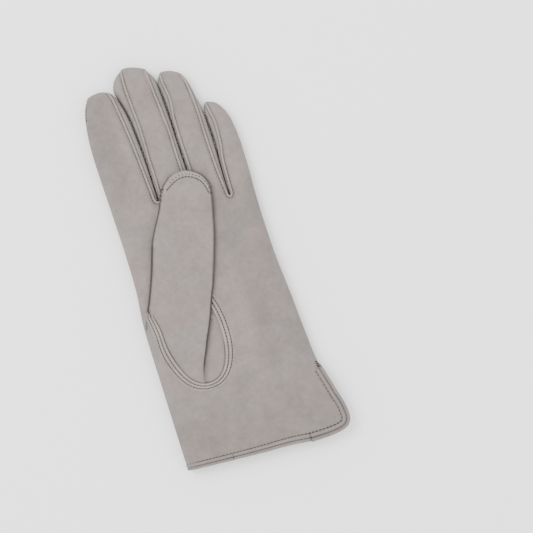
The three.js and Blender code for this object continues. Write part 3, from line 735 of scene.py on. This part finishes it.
def fourchette_wall(i, hand):
    """Rows of one finger's side, each from the palm's raw edge round its widest place to the back's."""
    palm, back, wall = EDGES[i, hand, "palm"], EDGES[i, hand, "back"], wall_line(i, hand)
    inward = -1 if hand == "right" else 1
    first, last = wall[0, 1], wall[-1, 1]
    rows = []
    for share in (1 - (1 - np.linspace(0, 1, 130))**1.35)**1.3:
        py, by, wy = (mix(line[0, 1], line[-1, 1], share) for line in (palm, back, wall))
        px, bx, wx = x_of(palm, py), x_of(back, by), x_of(wall, wy)
        wx -= inward * 0.3 * smooth(first, first + 10, wy) * smooth(last - 1, last - 9, wy)
        to_tip = distance(np.array([px]), np.array([py]), TOPS[i])[0]
        roll = arc(to_tip, TIP_ROLL) if py > 190 else 1.0
        rise = (SEAM_RISE - SKIN) * max(roll, 0.1)
        under = inward * 1.2 * min(1, share * 40)
        row = [(px + under, py, MID + rise - 0.15), (px, py, MID + rise)]
        for angle in math.pi * np.arange(1, 24) / 24:
            ex, ey, ez = (px, py, rise) if angle < math.pi / 2 else (bx, by, -rise)
            out = math.sin(angle)**0.75
            along = abs(math.cos(angle))**0.7
            row.append((mix(ex, wx, out), mix(wy, ey, along), MID + ez * along))
        row += [(bx, by, MID - rise), (bx + under, by, MID - rise + 0.15)]
        rows.append(row)
    return np.array(rows)


def build_fourchette(gap, material):
    before, after = fourchette_wall(gap, "right"), fourchette_wall(gap + 1, "left")
    grid = np.concatenate([before[::-1], after[1:]], 0)
    from_lip = grid[..., 0] - grid[:, 1:2, 0]
    depth = grid[..., 2] - MID
    shorter = min(wall_line(gap, "right")[-1, 1], wall_line(gap + 1, "left")[-1, 1])
    between = 1 - smooth(shorter - 5, shorter + 1, grid[..., 1])
    deep = smooth(3.1, 1.6, depth) * smooth(-3.4, -2.6, depth)
    # Painted shade just under the lips and deep in the gaps between the fingers
    tone = 0.08 - 0.45 * bell(from_lip, 0.3) - 0.72 * deep * between
    verts, faces, kept = weld(grid.reshape(-1, 3), grid_faces(*grid.shape[:2]))
    name = "fourchette_{}_{}".format(FINGERS[gap]["name"], FINGERS[gap + 1]["name"])
    add_piece(name + "_leather", verts, faces, material, [name], tone.ravel()[kept])


# The thumb. Stations from the foot of the hole to the tip: left edge, right edge or crease, the heights of
# both, how far the middle stands above them, and the places on the hole's edge (degrees) where the leather
# comes out from under the band on the left and on the right.
THUMB = [
    (-21.0, 46.8, -20.4, 46.9, 11.0, 11.0, 0, -94, -91),
    (-23.0, 48.8, -20.8, 50.2, 11.5, 11.7, 0.1, -98, -86),
    (-25.0, 51.4, -20.7, 53.6, 11.8, 12.0, 0.3, -106, -78),
    (-28.6, 55.0, -19.6, 56.8, 11.9, 12.6, 0.6, -120, -66),
    (-31.5, 59.4, -18.1, 60.2, 11.9, 13.1, 0.9, -136, -50),
    (-33.2, 64.5, -16.2, 64.3, 11.9, 13.6, 1.1, -148, -38),
    (-34.4, 70.0, -13.8, 69.0, 11.9, 14.0, 1.3, -160, -29),
    (-35.8, 76.0, -11.5, 74.0, 12.0, 14.3, 1.4, -171, -20),
    (-36.2, 81.0, -9.0, 79.0, 12.1, 14.6, 1.5, -180, -11),
    (-36.2, 85.5, -6.5, 84.0, 12.3, 14.8, 1.7, -188, -2),
    (-36.4, 90.5, -4.4, 88.6, 12.6, 15.1, 1.8, -198, 8),
    (-37.0, 95.4, -2.6, 93.0, 13.1, 15.4, 1.9, -209, 19),
    (-38.6, 98.8, -0.9, 97.0, 13.8, 15.7, 1.9, -218, 28),
    (-40.2, 101.8, 0.8, 100.8, 14.8, 16.0, 2, -226, 38),
    (-38.2, 106.6, 3.2, 106.0, 15.8, 16.1, 2, -234, 50),
    (-35.7, 112.2, 5.6, 112.2, 16.1, 16.1, 2.1, -240, 60),
    (-32.9, 118.7, 8.2, 119.0, 16.1, 16.1, 2.1, -240, 60),
    (-30.2, 125.5, 10.7, 126.0, 16.1, 16.1, 2.1, -240, 60),
    (-27.6, 132.8, 13.1, 133.0, 16.1, 16.1, 2, -240, 60),
    (-24.8, 140.0, 15.2, 140.2, 16.1, 16.1, 2, -240, 60),
    (-21.2, 146.8, 17.0, 147.0, 16.1, 16.1, 1.9, -240, 60),
    (-17.2, 153.2, 18.6, 153.4, 16.1, 16.1, 1.8, -240, 60),
    (-14.2, 158.4, 19.6, 158.6, 16.0, 16.0, 1.7, -240, 60),
    (-12.2, 162.8, 19.9, 163.0, 16.0, 16.0, 1.5, -240, 60),
    (-10.8, 166.5, 18.9, 166.7, 15.8, 15.8, 1.3, -240, 60),
    (-8.4, 169.7, 17.0, 170.0, 15.7, 15.7, 1, -240, 60),
    (-5.2, 172.7, 13.8, 172.9, 15.6, 15.6, 0.8, -240, 60),
    (-2.0, 174.6, 10.3, 174.7, 15.3, 15.3, 0.4, -240, 60),
    (1.4, 175.5, 7.5, 175.5, 15.0, 15.0, 0.1, -240, 60),
    (4.0, 175.7, 5.0, 175.7, 14.6, 14.6, 0, -240, 60),
]
THUMB_FLOOR = 12.9
THUMB_FOLDS = [((-36, 93), (-19, 66), 3.0, -0.4), ((-31, 101), (-12, 84), 3.4, 0.35),
               ((-25, 60), (-21, 88), 3.0, 0.3), ((-30, 113), (-13, 98), 4.0, -0.3),
               ((-5, 94), (-12, 80), 2.2, 0.25), ((-15, 120), (-7, 146), 4.5, -0.25),
               ((0, 116), (9, 144), 4.0, 0.22), ((-8, 152), (6, 156), 3.5, -0.2)]


def thumb_rows(count=210):
    table = np.array(THUMB)
    middle = (table[:, 0:2] + table[:, 2:4]) / 2
    knots = lengths(middle)
    share = np.linspace(0, 1, count)
    near_tip = np.clip((share - 0.85) / 0.15, 0, 1)
    share = np.where(share > 0.85, 0.85 + 0.15 * (1 - (1 - near_tip)**1.6), share)
    return hermite(table, knots, share * knots[-1]), share


def chain(points, count):
    """A polyline resampled to a fixed number of points."""
    p = np.asarray(points, float)
    return resample(p, np.linspace(0, lengths(p)[-1], count))


def half_round(centre, out, radius, high, low, count=14):
    """From the top of a folded edge round to its underside."""
    angle = np.linspace(math.pi / 2, -math.pi / 2, count)
    middle, half = (high + low) / 2, (high - low) / 2
    plan = centre[None] + out[None] * (radius * np.cos(angle))[:, None]
    return raised(plan, middle + half * np.sin(angle))


def thumb_rings():
    table, shares = thumb_rows()
    first_free, last_free = 98.0, 101.8
    rings = []
    for row in table:
        left, right = row[0:2], row[2:4]
        high_l, high_r, crown = row[4:7]
        width = np.linalg.norm(right - left) + 1e-6
        across = (right - left) / width
        free = float(smooth(first_free, last_free, left[1]))
        folded = float(smooth(54, 63, right[1]))
        open_below = 1 - float(smooth(97, 104, right[1]))
        radius_r = min(mix(1.0, 1.6, smooth(90, 110, right[1])), width * 0.45) * max(folded, 0.02)
        radius_l = min(1.6, width * 0.45) * free
        low = mix(THUMB_FLOOR, 12.4, open_below)
        low_r = mix(high_r - 0.05, min(low, high_r - 0.1), folded)
        low_l = mix(high_l - 0.02, min(THUMB_FLOOR, high_l - 0.1), free)
        u = 0.5 - 0.5 * np.cos(np.linspace(0, math.pi, 64))
        start, end = left + across * radius_l, right - across * radius_r
        rise_l = mix(1 - (1 - u)**2.4, u, free)
        top_z = mix(high_l, high_r, rise_l) + crown * np.sin(math.pi * u)**0.75
        top = raised(start + (end - start) * u[:, None], top_z)
        below = np.append(left + across * width * 0.45, mix(THUMB_FLOOR, 12.2, open_below))
        # right: round the fold, back under it, and in the triangle out again to the hole's edge
        bend = half_round(end, across, radius_r, high_r, low_r)
        exit_in = hole_point(math.radians(row[8]), 0.0)
        exit_out = hole_point(math.radians(row[8]), 2.2)
        back = min(3.0, width * 0.3) * folded
        hairpin = np.append(end - across * back, low_r - 0.03)
        under = np.append(end - across * back, 12.0)
        half_way = np.append((end + exit_in) / 2, 12.0)
        to_edge = [bend[-1], hairpin, under, half_way, np.append(exit_in, 11.85), np.append(exit_out, 11.4)]
        first_in = np.append(mix(end, below[:2], 0.3), low_r - 0.02)
        closing = [bend[-1], first_in, mix(bend[-1], below, 0.7), below]
        under_r = mix(chain(closing, 26), chain(to_edge, 26), open_below)[1:]
        bend_l = half_round(start, -across, radius_l, high_l, low_l)[::-1]
        come_out = hole_point(math.radians(row[7]), 2.2)
        attached = [np.append(come_out, 11.4), np.append(mix(come_out, left, 0.6), 11.7), bend_l[0]]
        closing_l = [below, mix(below, bend_l[0], 0.5), bend_l[0]]
        under_l = mix(chain(attached, 14), chain(closing_l, 14), free)[:-1]
        rings.append(np.concatenate([under_l, bend_l[:-1], top, bend[1:], under_r]))
    return np.array(rings), shares


THUMB_TOP = slice(26, 26 + 64)
EDGE_L, EDGE_R = 19, 96  # columns of the outermost places of the two folds


def thumb_surface():
    rings, shares = thumb_rings()
    x, y = rings[..., 0], rings[..., 1]
    place = np.zeros(rings.shape[1])
    place[THUMB_TOP] = np.sin(math.pi * np.linspace(0, 1, 64))**0.5
    relief = 0.12 * waves(x, y, 21, 26) + 0.08 * waves(x, y, 22, 10) + fold_relief(x, y, THUMB_FOLDS)
    relief = relief * (1 - smooth(158, 164, y)) * smooth(0, 0.08, shares)[:, None]
    on_top = np.zeros(rings.shape[1])
    on_top[THUMB_TOP] = 1
    seam = distance(x, y, TIP_SEAM)
    outside = smooth(-0.3, 0.6, np.where(inside_tip(x, y), -seam, seam))
    lip = -0.45 * bell(seam, 0.42) + 0.3 * outside * (1 - smooth(3.4, 5, seam))
    lip = lip - 0.2 * bell(seam - 1.6, 0.35) * outside
    left_seam = distance(x, y, TIP_SEAM_LEFT)
    lip = lip - 0.35 * bell(left_seam, 0.4)
    rings[..., 2] += relief * place[None] + lip * on_top[None]
    return rings, thumb_tone(rings, seam, outside, left_seam, on_top[None] > 0)


def thumb_tone(rings, seam, outside, left_seam, on_top):
    """Painted shade along the folded edges, on the undersides, beside the fold, under the band's raw edge
    and in the tip's seam, and a painted highlight on the seam's lip.
    """
    x, y, z = rings[..., 0], rings[..., 1], rings[..., 2]
    # Painted shade on the undersides; on top, painted light and shade that follow the folds' heights
    tone = np.where(on_top, 0.04 * fold_relief(x, y, THUMB_FOLDS), -0.5)
    free = smooth(100.2, 102.4, y)
    folded = smooth(53, 66, y)
    to_right = np.hypot(x - x[:, [EDGE_R]], y - y[:, [EDGE_R]])
    to_left = np.hypot(x - x[:, [EDGE_L]], y - y[:, [EDGE_L]])
    # Painted shade along both folded edges
    tone = tone - 0.7 * bell(to_right, mix(0.8, 0.5, smooth(90, 110, y))) * folded
    tone = tone - 0.8 * bell(to_left, mix(1.7, 0.55, smooth(136, 140, y))) * free
    open_below = 1 - smooth(97, 104, y)
    flat = (z < 12.3) & ~on_top
    # Painted shadow beside the fold, on the open triangle below it
    tone = np.where(flat, -0.35 * bell(to_right, 2.2) * open_below, tone)
    bare = np.maximum(smooth(-14, -22, x), 1 - smooth(56, 60, y))
    under_band = np.where(on_top, bare, 1) * (1 - smooth(98, 101, y))
    # Painted shade under the band's raw edge
    tone = tone - 0.55 * bell(hole_margin(x, y) + 0.3, 0.5) * under_band
    # Painted shade in the tip's seams, and a painted highlight on the lip beside them
    seams = -0.42 * bell(seam, 0.4) - 0.35 * bell(left_seam, 0.4) + 0.2 * outside * bell(seam - 1.6, 1.3, 4)
    return np.clip(tone + np.where(on_top, seams, 0), -0.8, 0.3)


def inside_tip(x, y):
    """Whether a place lies on the finger pad's side of the thumb's tip seam."""
    top = np.interp(x, TIP_SEAM[:200, 0], TIP_SEAM[:200, 1], left=0, right=0)
    return (y < top) & (x > -6) & (x < 17.5)


def build_thumb(rings, tone, material):
    verts, faces, kept = weld(rings.reshape(-1, 3), grid_faces(*rings.shape[:2], flip=True))
    add_piece("thumb_leather", verts, faces, material, ["thumb"], tone=tone.ravel()[kept])


# The twice-stitched band round the thumb's hole. Margins are outwards from the raw edge.
BAND_SECTION = [(6.6, -0.1), (6.1, 0.03), (5.6, 0.16), (5.1, 0.24), (4.8, 0.14), (4.6, -0.22),
                (4.4, -0.42), (4.2, -0.2), (3.95, 0.38), (3.5, 0.68), (3.1, 0.68), (2.6, 0.44),
                (2.3, 0.0), (2.1, -0.12), (1.9, 0.05), (1.6, 0.55), (1.1, 0.8), (0.6, 0.82), (0.25, 0.68),
                (0.06, 0.4), (0.0, 0.0), (0.06, -0.5), (1.2, -0.7)]
# Painted highlights on the band's ridges, painted shade in its grooves, at its raw edge and under it
BAND_TONE = [0, 0, 0.02, 0.08, 0, -0.18, -0.26, -0.15, 0.12, 0.25, 0.25, 0.12, -0.14, -0.24, -0.14, 0.12,
             0.25, 0.25, 0.1, -0.3, -0.55, -0.55, -0.5]


def build_band(material):
    angle = np.linspace(0, 2 * math.pi, 300)
    columns = []
    for margin, rise in BAND_SECTION:
        p = hole_point(angle, margin)
        columns.append(raised(p, on_sheet("palm", 0, p) + rise))
    grid = np.array(columns).transpose(1, 0, 2)
    tone = np.tile(BAND_TONE, len(angle))
    verts, faces, kept = weld(grid.reshape(-1, 3), grid_faces(*grid.shape[:2]))
    add_piece("thumbhole_band", verts, faces, material, ["trank"], tone=tone[kept])


# The binding, folded over the hem and both edges of the vent. Section: inwards from its outer edge,
# and above the middle of the leather, on the outside first.
BINDING_SECTION = [(4.8, 0.2), (4.72, 0.62), (4.5, 0.92), (4.1, 1.15), (3.5, 1.28), (2.75, 1.18),
                   (2.38, 0.8), (2.15, 0.5), (1.92, 0.8), (1.5, 1.16), (0.95, 1.18), (0.45, 0.95),
                   (0.1, 0.45), (0.0, -0.05), (0.2, -0.6), (0.8, -0.98), (1.8, -1.12), (3.4, -1.12),
                   (4.5, -0.95), (4.6, -0.4)]
# Painted shade at the binding's edges, in its groove and on its underside, faint painted highlights on its
# two ridges
BINDING_TONE = [-0.6, -0.5, -0.1, 0.05, 0.08, 0, -0.28, -0.4, -0.26, 0.02, 0.08, 0, -0.12, -0.25, -0.3,
                -0.2, -0.1, 0, -0.3, -0.5]
JOIN_X = 28.3  # where the binding's ends meet on the palm
SECOND_JOIN_X = -19.4


def binding_path():
    """Along the outer edge: place, the leather's outward normal, the way out of the glove."""
    parts = []
    for side, up in (("palm", 1.0), ("back", -1.0)):
        line = np.vstack([HEMS[side], VENTS[side][1:]])
        away = normals(line)
        keep = (line[:, 0] > -39.0) & (line[:, 1] < VENT_TOP - 0.6)
        line, away = line[keep], away[keep]
        inner = line - away * 2.0
        z = np.where(inner[:, 0] < -30, on_sheet(side, 0, inner), on_sheet(side, 3, inner)) - up * 0.45
        none = np.zeros((len(line), 1))
        rows = np.hstack([line, z[:, None], none, none, none + up, away, none])
        parts.append(rows[::-1] if side == "palm" else rows)
    palm, back = parts
    top, low = palm[-1][2], back[0][2]
    middle, half = (top + low) / 2, (top - low) / 2
    turn = palm[-1][0] - FOLDED_SIDE
    fold = []
    for angle in np.linspace(math.pi / 2, 3 * math.pi / 2, 30)[1:-1]:
        c, s = math.cos(angle), math.sin(angle)
        x = FOLDED_SIDE + turn + (turn - 0.45) * c
        y = mix(palm[-1][1], back[0][1], (1 - s) / 2) + 0.55 * abs(c)
        fold.append([x, y, middle + half * s, *unit(np.array([c * half, 0, s * turn])), 0, -1, 0])
    return np.vstack([palm, np.array(fold), back])


def binding_run():
    """The path in even steps, with a short one at each of the binding's two joins."""
    path = binding_path()
    for _ in range(8):
        path[1:-1] = path[1:-1] * 0.5 + (path[:-2] + path[2:]) * 0.25
    run = lengths(path[:, :3])
    at = np.arange(0, run[-1], 0.5)
    joins = []
    for join in (JOIN_X, SECOND_JOIN_X):
        step = sample(path, run, at)
        near = np.nonzero((step[:, 5] > 0.9) & (np.abs(step[:, 0] - join) < 1.0))[0][0]
        joins.append(at[near] + 0.25)
        at = np.insert(at, near + 1, [at[near] + 0.24, at[near] + 0.26])
    return at, sample(path, run, at), joins


def follow(place, normal, away, inwards):
    """How far the leather's outside rises from under the binding's middle to a place further in."""
    rise = np.zeros(len(place))
    if inwards < 2.0:
        return rise
    for side, up in (("palm", 1), ("back", -1)):
        flat = normal[:, 2] * up > 0.97
        by_fold = place[flat, 0] < -25
        spots = [place[flat, :2] - away[flat, :2] * further for further in (2.0, inwards)]
        z = [np.where(by_fold, on_sheet(side, 0, p), on_sheet(side, 3, p)) for p in spots]
        rise[flat] = np.clip((z[1] - z[0]) * up, -0.5, 2.5)
    return rise


def build_binding(material):
    """Also returns its two rows of stitches and which way is up along them."""
    at, path, joins = binding_run()
    on_palm = path[:, 5] > 0.9
    place, normal, away = path[:, 0:3], unit(path[:, 3:6]), unit(path[:, 6:9])
    first = np.where(at < joins[0], np.exp(-(joins[0] - at) / 16), 0)
    second = np.where(at > joins[1], np.exp(-(at - joins[1]) / 9), 0)
    thick = 1 + 0.45 * first + 0.22 * second
    outwards = 0.6 * first + 0.1 * second
    wide = mix(0.84, 1.0, smooth(-30, 34, place[:, 0]))
    pucker = 0.06 * np.sin(at / 2.3 * 2 * math.pi) + 0.05 * np.sin(at / 6.7 + 1)
    columns = []
    for inwards, up in BINDING_SECTION:
        lift = up * thick + follow(place, normal, away, inwards)
        if 1 < inwards < 4.3:
            lift = lift + pucker * np.sign(up)
        inset = inwards * wide - (outwards if inwards < 2 else 0)
        columns.append(place - away * inset[:, None] + normal * lift[:, None])
    grid = np.stack(columns, 1)
    count = len(BINDING_SECTION)
    last = (len(at) - 1) * count
    faces = grid_faces(len(at), count, closed=True, flip=True)
    faces += [list(range(count)), list(range(last, last + count))[::-1]]
    # Painted shade at the binding's two joins on the palm, where the step casts a small shadow
    to_join = np.minimum(np.abs(at - joins[0]), np.abs(at - joins[1] - 0.25) * 2)
    tone = np.array(BINDING_TONE)[None] - 0.62 * (bell(to_join, 0.35) * on_palm)[:, None]
    add_piece("binding_leather", grid.reshape(-1, 3), faces, material, ["cuff_binding"],
              tone.ravel())
    inner_lift = 0.62 + follow(place, normal, away, 5.0)
    inner = place - away * (5.0 * wide)[:, None] + normal * inner_lift[:, None]
    groove = place - away * (2.15 * wide)[:, None] + normal * (0.56 * thick)[:, None]
    return inner, groove, normal


# Stitches

# A stitch's sections: place along it, width and lift, of its length and radius
STITCH_SECTIONS = [(-0.5, 0.3, -0.7), (-0.38, 0.8, -0.1), (-0.15, 1.0, 0.15),
                   (0.15, 1.0, 0.15), (0.38, 0.8, -0.1), (0.5, 0.3, -0.7)]


def stitches(rows, name, material):
    """Single stitches along rows of (line, which way is up, pitch, length, radius)."""
    verts, faces = [], []
    ring = [(math.cos(a), math.sin(a)) for a in np.arange(6) * math.pi / 3]
    for line, up, pitch, length, radius in rows:
        line = np.asarray(line, float)
        run = lengths(line)
        count = max(1, int(run[-1] / pitch))
        centre = (np.arange(count) + 0.5) * run[-1] / count + rng.normal(0, 0.06, count) * (count > 1)
        middle = sample(line, run, centre)
        behind = sample(line, run, np.maximum(centre - 0.3, 0))
        ahead = unit(sample(line, run, np.minimum(centre + 0.3, run[-1])) - behind)
        up = sample(np.broadcast_to(np.asarray(up, float), line.shape), run, centre)
        up = unit(up - (up * ahead).sum(1)[:, None] * ahead)
        side = np.cross(ahead, up)
        for k in range(count):
            start = len(verts)
            for t, wide, lift in STITCH_SECTIONS:
                core = middle[k] + ahead[k] * t * length + up[k] * lift * radius
                verts += [core + (side[k] * c + up[k] * s) * radius * wide for c, s in ring]
            faces += grid_faces(6, 6, start, closed=True)
            faces.append(tuple(start + a for a in range(5, -1, -1)))
            faces.append(tuple(start + 30 + a for a in range(6)))
    add_piece(name, np.array(verts), faces, material, ())


def seam_row(side, gap):
    """The stitches along both fingers beside a gap and round its crotch."""
    line = GAP_SEAMS[side][gap]
    inner = line + normals(line) * LIP
    x, y = inner[:, 0], inner[:, 1]
    crotch = (PALM_CROTCH if side == "palm" else BACK_CROTCH)[gap]
    keep = (distance(x, y, line) > LIP * 0.85) | (y < crotch + 1)
    for i in (gap, gap + 1):
        keep &= ~((distance(x, y, TOPS[i]) < 1.2) & (y > 195))
    inner = inner[keep]
    before = inner[:, 0] < CROTCH_X[gap]
    z = np.where(before, on_sheet(side, gap, inner), on_sheet(side, gap + 1, inner))
    return raised(inner, z + (0.3 if side == "palm" else -0.25))


def thumb_height(rings, plan):
    top = rings[:, THUMB_TOP].reshape(-1, 3)
    out = []
    for p in plan:
        d = np.hypot(top[:, 0] - p[0], top[:, 1] - p[1])
        near = np.argsort(d)[:4]
        weight = 1 / (d[near] + 0.05)
        out.append((top[near, 2] * weight).sum() / weight.sum())
    return np.array(out)


def build_stitches(rings, binding_rows, thread_painted_shade, tack_thread_painted_shade):
    up, down = (0, 0, 1), (0, 0, -1)
    rows = []
    for gap in range(3):
        rows.append((seam_row("palm", gap), up, 1.9, 1.25, 0.23))
        rows.append((seam_row("back", gap), down, 1.9, 1.25, 0.23))
    visible = np.linspace(math.radians(-219), math.radians(35), 400)
    for margin, lift, radius in ((BAND, -0.22, 0.27), (2.1, 0.06, 0.24)):
        p = hole_point(visible, margin)
        rows.append((raised(p, on_sheet("palm", 0, p) + lift), up, 1.9, 1.35, radius))
    inner, groove, normal = binding_rows
    bold = (normal[:, 2] > 0.5) & (inner[:, 0] > JOIN_X - 3) & (inner[:, 1] < 4)
    first, last = np.nonzero(bold)[0][[0, -1]]
    rows.append((inner[:first + 1], normal[:first + 1], 2.1, 1.5, 0.19))
    rows.append((inner[first:last + 1], normal[first:last + 1], 2.1, 1.55, 0.33))
    rows.append((inner[last:], normal[last:], 2.1, 1.5, 0.19))
    rows.append((groove, normal, 2.1, 1.2, 0.15))
    for line in POINT_LINES:
        for offset in (-1.9, 1.9):
            p = line + normals(line) * offset
            rows.append((raised(p, on_sheet("back", 1, p) - 0.02), down, 2.0, 1.3, 0.22))
    for offset in (-1.5, 1.5):
        p = SIDE_SEAM + normals(SIDE_SEAM) * offset
        rows.append((raised(p, on_sheet("back", 3, p) - 0.05), down, 2.0, 1.3, 0.22))
    for line in (TIP_SEAM, TIP_SEAM_LEFT):
        rows.append((raised(line, thumb_height(rings, line) + 0.1), up, 1.9, 1.3, 0.24))
    outer = TIP_SEAM[8:62] - normals(TIP_SEAM[8:62]) * 1.6
    rows.append((raised(outer, thumb_height(rings, outer) + 0.07), up, 2.0, 0.95, 0.27))
    stitches(rows, "stitches", thread_painted_shade)
    tacks = []
    for k, y in enumerate((41.9, 40.7, 39.6, 38.7)):
        x = 46.2 + 0.15 * k + np.linspace(-0.9, 0.9, 5)
        plan = np.stack([x, y - 0.25 * (x - x[0])], 1)
        tacks.append((raised(plan, on_sheet("palm", 3, plan) + 0.25), (0.5, 0, 0.85), 9, 1.9, 0.34))
    ends = [((-9.7, 168.9), (-7.0, 168.4)), ((17.8, 157.4), (19.3, 157.7))]
    for start, end in ends:
        p = np.linspace(start, end, 5)
        tacks.append((raised(p, thumb_height(rings, p) + 0.2), up, 9, math.dist(start, end), 0.24))
    tip = LEFT[(LEFT[:, 1] > TIP_SEAM_START) & (LEFT[:, 1] < 230.5)] + np.array([0.7, 0])
    tacks.append((raised(tip, on_sheet("palm", 0, tip) + 0.2), (-0.6, 0, 0.8), 1.8, 1.7, 0.34))
    # The tacks' near-black thread is painted shade, on a thread of the leather's own tone
    stitches(tacks, "bar_tack", tack_thread_painted_shade)


# Materials


def suede(name, color, mottled=0.05, nap=0.25, seed=0.0):
    mat = bpy.data.materials.new(name)
    mat.use_nodes = True
    nodes, links = mat.node_tree.nodes, mat.node_tree.links
    shader = nodes["Principled BSDF"]
    coords = nodes.new("ShaderNodeTexCoord")
    millimetres = nodes.new("ShaderNodeMapping")
    millimetres.inputs["Scale"].default_value = (1000, 1000, 1000)
    millimetres.inputs["Location"].default_value = (seed * 37, seed * 91, seed * 13)
    links.new(coords.outputs["Object"], millimetres.inputs["Vector"])

    def noise(size, detail=3.0, roughness=0.55, stretch=None):
        node = nodes.new("ShaderNodeTexNoise")
        node.inputs["Scale"].default_value = 1.0 / size
        node.inputs["Detail"].default_value = detail
        node.inputs["Roughness"].default_value = roughness
        source = millimetres
        if stretch:
            source = nodes.new("ShaderNodeMapping")
            source.inputs["Scale"].default_value = stretch
            source.inputs["Rotation"].default_value = (0, 0, 0.3)
            links.new(millimetres.outputs["Vector"], source.inputs["Vector"])
        links.new(source.outputs["Vector"], node.inputs["Vector"])
        return node.outputs["Fac"]

    def calc(kind, a, b):
        node = nodes.new("ShaderNodeMath")
        node.operation = kind
        for k, value in enumerate((a, b)):
            if isinstance(value, (int, float)):
                node.inputs[k].default_value = value
            else:
                links.new(value, node.inputs[k])
        return node.outputs[0]

    def around_zero(value, amount):
        return calc("MULTIPLY", calc("SUBTRACT", value, 0.5), amount)

    grain = noise(0.7, 2.0, 0.6, stretch=(1.0, 0.5, 1.0))
    # The tone attribute: painted shade in grooves, at edges and creases, painted highlights on lips and
    # ridges, and the palm darker in places
    tone_shift = nodes.new("ShaderNodeAttribute")
    tone_shift.attribute_name = "tone"
    broad = around_zero(noise(14, 4.0, 0.65), mottled * 11)
    fine = around_zero(noise(3.2, 3.0), mottled * 7)
    tone = calc("ADD", calc("ADD", calc("ADD", broad, fine), around_zero(grain, nap)), 1.0)
    tone = calc("MULTIPLY", tone, calc("ADD", tone_shift.outputs["Fac"], 1.0))
    hue = nodes.new("ShaderNodeMix")
    hue.data_type = "RGBA"
    hue.inputs[6].default_value = (color[0] * 0.90, color[1] * 1.02, color[2] * 1.03, 1)
    hue.inputs[7].default_value = (color[0] * 1.10, color[1] * 0.98, color[2] * 0.97, 1)
    links.new(noise(17, 3.0, 0.6), hue.inputs[0])
    scaled = nodes.new("ShaderNodeVectorMath")
    scaled.operation = "SCALE"
    links.new(hue.outputs[2], scaled.inputs[0])
    links.new(tone, scaled.inputs["Scale"])
    links.new(scaled.outputs[0], shader.inputs["Base Color"])
    bump = nodes.new("ShaderNodeBump")
    bump.inputs["Strength"].default_value = 0.4
    bump.inputs["Distance"].default_value = 0.0002
    height = calc("ADD", calc("MULTIPLY", grain, 0.6), calc("MULTIPLY", noise(0.28, 2.0, 0.6), 0.4))
    links.new(height, bump.inputs["Height"])
    links.new(bump.outputs["Normal"], shader.inputs["Normal"])
    shader.inputs["Roughness"].default_value = 0.95
    shader.inputs["Specular IOR Level"].default_value = 0.1
    shader.inputs["Sheen Weight"].default_value = 0.08
    shader.inputs["Sheen Roughness"].default_value = 0.6
    return mat


def plain(name, color, roughness=0.85):
    mat = bpy.data.materials.new(name)
    mat.use_nodes = True
    shader = mat.node_tree.nodes["Principled BSDF"]
    shader.inputs["Base Color"].default_value = (*color, 1)
    shader.inputs["Roughness"].default_value = roughness
    shader.inputs["Specular IOR Level"].default_value = 0.15
    return mat


def shade(factor):
    return tuple(c * factor for c in GREY)


GREY = (0.193, 0.1675, 0.1555)
build_trank(suede("suede", GREY))
build_lining_side(suede("suede_inside", shade(0.9), seed=3.0))
for gap in range(3):
    build_fourchette(gap, suede(f"suede_sides_{gap}", shade(0.93), seed=1.0 + gap))
thumb_mesh, tone = thumb_surface()
build_thumb(thumb_mesh, tone, suede("suede_thumb", shade(1.0), seed=5.0))
build_band(suede("suede_band", shade(1.03), seed=6.0))
binding_rows = build_binding(suede("suede_binding", shade(0.88), mottled=0.03, seed=2.0))
# The thread's dark colour is painted shade: the stitches' holes and grooves, on a thread of the leather's
# own tone
thread_painted_shade = plain("thread_painted_shade", shade(0.2))
# The tacks' near-black colour is painted shade
build_stitches(thumb_mesh, binding_rows, thread_painted_shade, plain("bar_tack_thread_painted_shade", (0.03, 0.026, 0.026)))


# Stage

floor_mesh = bpy.data.meshes.new("floor")
floor_mesh.from_pydata([(-4, -4, 0), (4, -4, 0), (4, 4, 0), (-4, 4, 0)], [], [(0, 1, 2, 3)])
floor = bpy.data.objects.new("floor", floor_mesh)
bpy.context.scene.collection.objects.link(floor)
floor_mesh.materials.append(plain("floor_paint", (0.97, 0.97, 0.97), 0.9))

world = bpy.data.worlds.new("studio")
bpy.context.scene.world = world
world.use_nodes = True
background = world.node_tree.nodes["Background"]
background.inputs["Color"].default_value = (1, 1, 1, 1)
background.inputs["Strength"].default_value = 2.0


def soft_box(name, place, size, power):
    data = bpy.data.lights.new(name, "AREA")
    data.energy = power
    data.size = size
    lamp = bpy.data.objects.new(name, data)
    lamp.location = place
    lamp.rotation_mode = "QUATERNION"
    lamp.rotation_quaternion = (-Vector(place)).to_track_quat("-Z", "Y")
    bpy.context.scene.collection.objects.link(lamp)


soft_box("key", (-0.6, 0.65, 1.5), 0.9, 24)
soft_box("fill", (0.9, -0.5, 1.4), 1.4, 6)

# The photo's view: from straight above, with the glove leaning 18.5 degrees to the left
LEAN = 18.5
VIEW_CENTRE = np.array([36.17, 105.26, 0.0])
VIEW_WIDTH = 0.3198
camera_data = bpy.data.cameras.new("camera")
camera_data.sensor_width = 36
camera_data.sensor_height = 36
camera_data.lens = 170
camera_data.clip_end = 20
camera = bpy.data.objects.new("camera", camera_data)
bpy.context.scene.collection.objects.link(camera)
centre = (VIEW_CENTRE + ORIGIN) / 1000.0
camera.location = (centre[0], centre[1], VIEW_WIDTH * camera_data.lens / camera_data.sensor_width + 0.011)
camera.rotation_euler = (0, 0, math.radians(-LEAN))
bpy.context.scene.camera = camera
